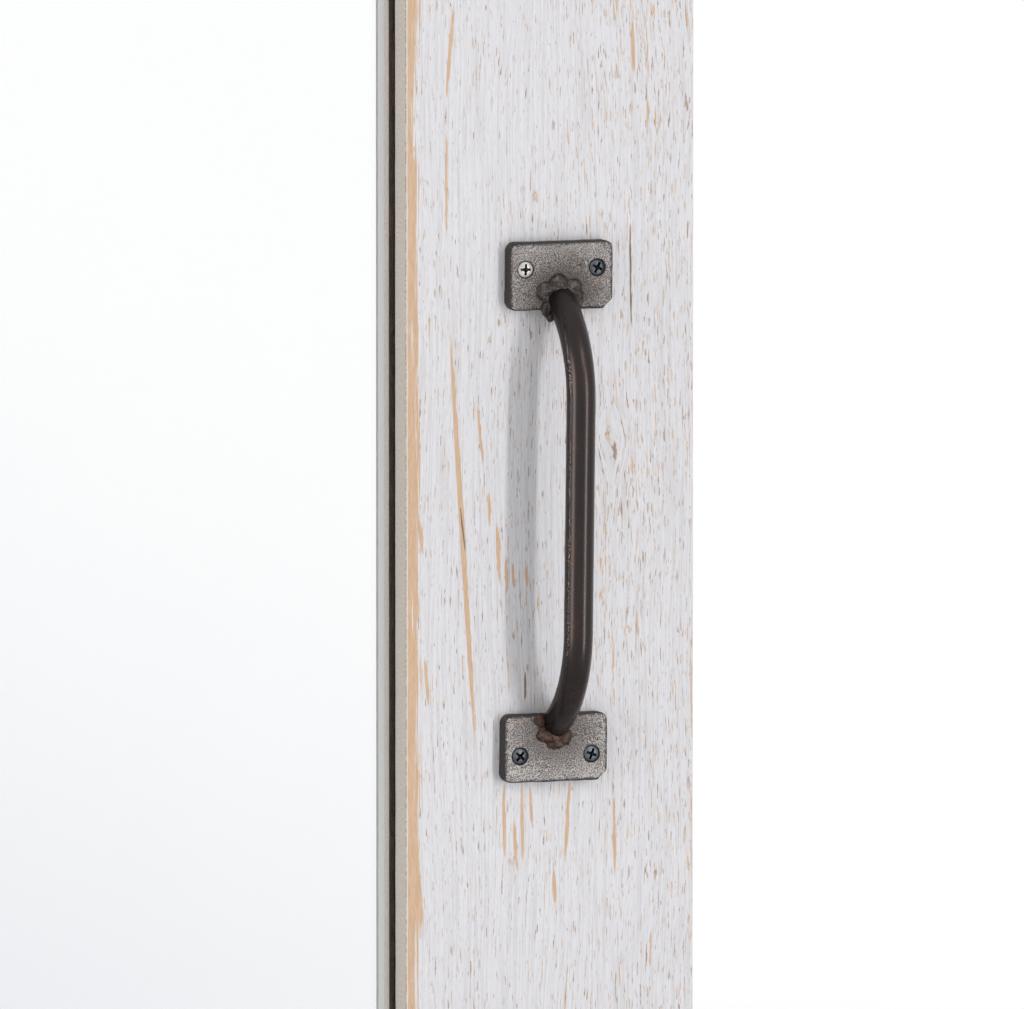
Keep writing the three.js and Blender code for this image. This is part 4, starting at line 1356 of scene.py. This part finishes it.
@dataclass
class Hanger:
    """A strap over a grooved wheel, with its axle and two square-shouldered screws."""

    strap_width: float = 26.0
    thickness: float = 3.0
    clip: float = 6.0
    tread: float = 14.0
    web_holes: int = 5
    web_hole: float = 2.3
    web_circle: float = 9.2
    lag_head: float = 4.6

    def build_all(self) -> None:
        """Makes one of each part as a pattern at the left outer hanger, and copies it to the other three."""
        iron = Iron("waxed_iron_straps", tone(52, 47, 45), tone(76, 62, 54), 8.0, 0.60).material()
        tones = (tone(42, 43, 46), tone(70, 69, 70))
        black = Iron("black_oxide_lag_screws", *tones, 9.0, 0.6, (0.3, 0.5)).material()
        tones = (tone(33, 32, 32), tone(46, 45, 44))
        nylon = Coat("black_nylon", *tones, (0.3, 0.3, 0.3), 0.0, (0.4, 0.55), 0.02).material()
        strap = self.strap_pattern()
        wheel = self.wheel_pattern()
        axle = self.axle_pattern()
        screw = self.screw_pattern()
        for side in Side:
            body = f"{side.name.lower()}_shutter"
            for spot in ("outer", "inner"):
                prefix = f"{side.name.lower()}_{spot}"
                own = f"{prefix}_wheel"
                move = over(own)
                place(twin(strap, f"{prefix}_hanger", move), body, iron, [f"{prefix}_strap"])
                place(twin(axle, f"{prefix}_rivet", move), body, iron, [f"{prefix}_axle"])
                place(twin(wheel, f"{prefix}_roller", move), own, nylon, [own])
                for height, angle in (("lower", 12.0), ("upper", 41.0)):
                    node = f"{prefix}_strap_{height}_screw"
                    turned = over(node) @ swing(angle + 17 * side.value, "Y")
                    copy = twin(screw, f"{prefix}_{height}_lag_screw", turned)
                    place(copy, body, black, [node])
        for pattern in (strap, wheel, axle, screw):
            bpy.data.objects.remove(pattern)

    def strap_pattern(self) -> bpy.types.Object:
        """The strap about the axle: a round top, a clipped foot, and three holes."""
        low, high = node_box("left_outer_strap")
        centre = node_middle("left_outer_wheel")
        half = self.strap_width / 2
        foot = low.z - centre.z
        strap = ring("strap_pattern", half, low.y, 64)
        with editing(strap):
            bpy.ops.mesh.select_all(action="SELECT")
            bpy.ops.mesh.extrude_region_move(TRANSFORM_OT_translate={"value": (0, self.thickness * MM, 0)})
        shank = block("shank", (-half, low.y, foot), (half, low.y + self.thickness, 0))
        bevel(shank, lambda a, b: abs(a.y - b.y) > 1 and a.z < foot + 1, self.clip, 1)
        modify(strap, "BOOLEAN", operation="UNION", object=shank, solver="EXACT")
        bpy.data.objects.remove(shank)
        screws = [node_middle(f"left_outer_strap_{height}_screw") for height in ("lower", "upper")]
        moves = [shift(0, 0, middle.z - centre.z) for middle in screws]
        axle_bore = turn("bore", [(3.2, low.y - 2), (3.2, high.y + 2)], 32)
        carve(strap, [axle_bore, *cutters([(2.3, low.y - 2), (2.3, high.y + 2)], 24, moves)])
        finish_mesh(strap, 30)
        sharp = math.radians(40)
        modify(strap, "BEVEL", width=0.45 * MM, segments=2, limit_method="ANGLE", angle_limit=sharp)
        return finish_mesh(strap, 30)

    def wheel_pattern(self) -> bpy.types.Object:
        """A grooved wheel with a dished web and five round holes."""
        low, high = node_box("left_outer_wheel")
        centre = (low + high) / 2
        radius = (high.z - low.z) / 2
        half = (high.y - low.y) / 2
        y = centre.y
        hub = [(3.2, half - 0.3), (3.5, half), (5.7, half), (6.0, half - 0.3)]
        web = [(6.2, 3.2), (6.9, 3.1), (11.9, 3.1), (12.4, 3.4)]
        flange = [(12.6, half - 0.3), (12.9, half), (radius - 0.5, half), (radius - 0.05, half - 0.5)]
        groove = [(radius - 0.05, 3.7), (radius - 0.4, 3.4), (self.tread + 0.5, 2.9), (self.tread, 2.6)]
        face = hub + web + flange + groove
        front = [(r, y - deep) for r, deep in face]
        back = [(r, y + deep) for r, deep in reversed(face)]
        wheel = turn("wheel_pattern", [*front, *back, front[0]], 72, hollow=True)
        angles = [2 * math.pi * i / self.web_holes for i in range(self.web_holes)]
        circle = self.web_circle
        moves = [shift(circle * math.sin(angle), 0, circle * math.cos(angle)) for angle in angles]
        carve(wheel, cutters([(self.web_hole, y - half - 2), (self.web_hole, y + half + 2)], 24, moves))
        return finish_mesh(wheel, 30)

    def axle_pattern(self) -> bpy.types.Object:
        """A domed rivet with a shoulder behind the strap and a peened tail."""
        low, high = node_box("left_outer_axle")
        play = 0.3
        strap_low, strap_high = node_box("left_outer_strap")
        wheel_low, wheel_high = node_box("left_outer_wheel")
        top, shoulder = strap_low.y - play, strap_high.y + play
        wheel_front, tail = wheel_low.y - play, wheel_high.y + play
        crown, head, pin = low.y, 6.9, 3.0
        dome = [(1.2, crown + 0.02), (3.4, crown + 0.35), (5.2, crown + 1.1), (6.5, top - 0.9)]
        brim = [(head, top - 0.3), (head, top), (pin, top)]
        collar = [(pin, shoulder), (4.7, shoulder), (4.7, wheel_front), (pin, wheel_front)]
        peened = [(pin, tail), (4.9, tail), (4.9, high.y - 0.4), (4.3, high.y - 0.05), (1.0, high.y)]
        return turn("axle_pattern", dome + brim + collar + peened, 40)

    def screw_pattern(self) -> bpy.types.Object:
        """A lag screw with a chamfered hexagonal head."""
        low, high = node_box("left_outer_strap_lower_screw")
        top, face = self.lag_head, low.y
        side = top * 0.97
        head = [(top * 0.72, face + 0.02), (top * 0.86, face + 0.35), (side, face + 1.0), (side, face + 2.95)]
        shank = [(1.9, face + 2.6), (1.9, high.y - 3), (0.4, high.y - 0.1)]
        parts = [turn("lag_head", head, 6), turn("lag_shank", shank, 20)]
        return finish_mesh(join("lag_pattern", parts), 25)


# ------------------------------------------------------------------ the studio


@dataclass
class Lamp:
    """A soft oblong lamp: its stand, its aim, its width and height, all in metres, and its power in watts."""

    name: str
    stand: Point
    aim: Point
    size: tuple[float, float]
    power: float

    def place(self) -> None:
        """Adds the lamp to the scene."""
        data = bpy.data.lights.new(self.name, "AREA")
        data.shape = "RECTANGLE"
        data.size, data.size_y = self.size
        data.energy = self.power
        lamp = bpy.data.objects.new(self.name, data)
        lamp.location = self.stand
        lamp.rotation_mode = "QUATERNION"
        lamp.rotation_quaternion = (Vector(self.aim) - Vector(self.stand)).to_track_quat("-Z", "Y")
        bpy.context.scene.collection.objects.link(lamp)


@dataclass
class Studio:
    """The camera at an angle fitted to the photograph, three soft lamps, plain white round about and a pale floor."""

    target: Point = (172.2, -31.7, -363.8)
    azimuth: float = -22.2
    elevation: float = 6.9
    distance: float = 12.0
    lens: float = 1038.7
    middle: Point = (0.1, 0.0, -0.33)
    handle: Point = (0.19, -0.05, -0.36)
    ambient: float = 0.52
    floor_radius: float = 1.4
    floor_drop: float = 0.0005
    card_size: float = 2.4
    card_distance: float = 1.9
    card_seen_at: Point = (0.06, -0.018, -0.36)

    def build(self) -> None:
        """Makes the camera, the lamps, the surroundings, the floor and the card."""
        scene = bpy.context.scene
        scene.view_settings.view_transform = "Standard"
        self.place_camera(scene)
        Lamp("key_lamp", self.from_middle(20.0, 32.0, 2.6), self.middle, (0.9, 0.9), 8.0).place()
        Lamp("tall_lamp", (0.89, -1.5, -0.40), self.handle, (0.10, 1.3), 9.5).place()
        Lamp("left_fill", self.from_middle(-75.0, 4.0, 2.0), self.middle, (0.8, 1.2), 16.0).place()
        self.fill_world(scene, self.ambient)
        self.lay_floor()
        self.hang_card()

    def place_camera(self, scene: bpy.types.Scene) -> None:
        """Puts the camera where the photograph seems to be taken from."""
        back = self.direction(self.azimuth, self.elevation)
        data = bpy.data.cameras.new("camera")
        data.lens = self.lens
        data.sensor_width = 36.0
        data.clip_end = 60.0
        camera = bpy.data.objects.new("camera", data)
        camera.location = Vector(self.target) * MM + back * self.distance
        camera.rotation_mode = "QUATERNION"
        camera.rotation_quaternion = (-back).to_track_quat("-Z", "Y")
        scene.collection.objects.link(camera)
        scene.camera = camera

    @staticmethod
    def direction(azimuth: float, elevation: float) -> Vector:
        """The direction from the object to a place round it, both angles in degrees."""
        a, e = math.radians(azimuth), math.radians(elevation)
        return Vector((math.sin(a) * math.cos(e), -math.cos(a) * math.cos(e), math.sin(e)))

    def from_middle(self, azimuth: float, elevation: float, distance: float) -> Point:
        """A place round the object's middle, by its direction in degrees and its distance in metres."""
        return tuple(Vector(self.middle) + self.direction(azimuth, elevation) * distance)

    @staticmethod
    def fill_world(scene: bpy.types.Scene, ambient: float) -> None:
        """White for what is seen directly, in metal and through glass, and a lower level for the light."""
        world = bpy.data.worlds.new("white_studio")
        world.use_nodes = True
        tree = world.node_tree
        tree.nodes.clear()
        path = tree.nodes.new("ShaderNodeLightPath")
        seen = path.outputs["Is Camera Ray"]
        for name in ("Is Glossy Ray", "Is Transmission Ray"):
            either = tree.nodes.new("ShaderNodeMath")
            either.operation = "MAXIMUM"
            tree.links.new(seen, either.inputs[0])
            tree.links.new(path.outputs[name], either.inputs[1])
            seen = either.outputs[0]
        dim, full = tree.nodes.new("ShaderNodeBackground"), tree.nodes.new("ShaderNodeBackground")
        dim.inputs["Strength"].default_value = ambient
        dim.inputs["Color"].default_value = (0.985, 0.99, 1.0, 1.0)
        full.inputs["Color"].default_value = (1.0, 1.0, 1.0, 1.0)
        mix = tree.nodes.new("ShaderNodeMixShader")
        tree.links.new(seen, mix.inputs[0])
        tree.links.new(dim.outputs[0], mix.inputs[1])
        tree.links.new(full.outputs[0], mix.inputs[2])
        output = tree.nodes.new("ShaderNodeOutputWorld")
        tree.links.new(mix.outputs[0], output.inputs[0])
        scene.world = world

    def lay_floor(self) -> None:
        """A pale disc at the object's foot that fades into the white."""
        low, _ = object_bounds()
        alone()
        bpy.ops.mesh.primitive_circle_add(
            vertices=96, radius=self.floor_radius, fill_type="NGON", location=(0, 0, low.z - self.floor_drop)
        )
        floor = adopt("floor")
        graph = Graph("pale_floor")
        x, y, _ = graph.place()
        reach = (x * x + y * y).maths("SQRT")
        grain = graph.noise(x * 0.02, y * 0.02, 0.5, 2.0)
        floor.data.materials.append(
            graph.surface(
                Base_Color=graph.blend(grain, tone(250, 250, 250), tone(247, 247, 247)),
                Roughness=grain.spread(0.85, 0.95),
                Alpha=reach.within(1250.0, 500.0),
            )
        )
        floor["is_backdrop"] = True

    def hang_card(self) -> None:
        """A card that only mirrors see. It gives the glass its cool fall-off towards the lower left."""
        seen = self.direction(self.azimuth, self.elevation)
        away = Vector((-seen.x, seen.y, -seen.z)).normalized()
        alone()
        bpy.ops.mesh.primitive_plane_add(size=1.0)
        centre = Vector(self.card_seen_at) + away * self.card_distance
        turned = away.to_track_quat("Z", "Y").to_matrix().to_4x4()
        stretch = Matrix.Diagonal((self.card_size, self.card_size, 1, 1))
        bpy.context.object.matrix_world = Matrix.Translation(centre) @ turned @ stretch
        card = adopt("reflected_card")
        for ray in ("camera", "diffuse", "shadow", "volume_scatter"):
            setattr(card, f"visible_{ray}", False)
        graph = Graph("card_tone")
        x, _, z = graph.place()
        u, v = x - centre.x / MM, z - centre.z / MM
        fall = (0.0 - v) + 0.55 * (0.0 - u)
        share = fall.within(-120.0, 900.0)
        rim = (u * u + v * v).maths("SQRT")
        share = share * rim.within(1000.0, 600.0)
        shade = graph.blend(share, (1.0, 1.0, 1.0), tone(205, 209, 219))
        glow = graph.node("Emission", None, {"Color": shade, "Strength": 1.0})
        graph.node("OutputMaterial", None, {"Surface": glow.outputs[0]})
        card.data.materials.append(graph.material)
        card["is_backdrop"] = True


def main() -> None:
    """Builds the mirror and its studio."""
    logging.basicConfig(level=logging.INFO, format="%(message)s")
    Studio().build()
    MirrorFrame().build()
    SlideRail().build()
    for side in Side:
        Shutter(side).build()
        Handle(side).build()
    Hanger().build_all()


if __name__ == "__main__":
    main()
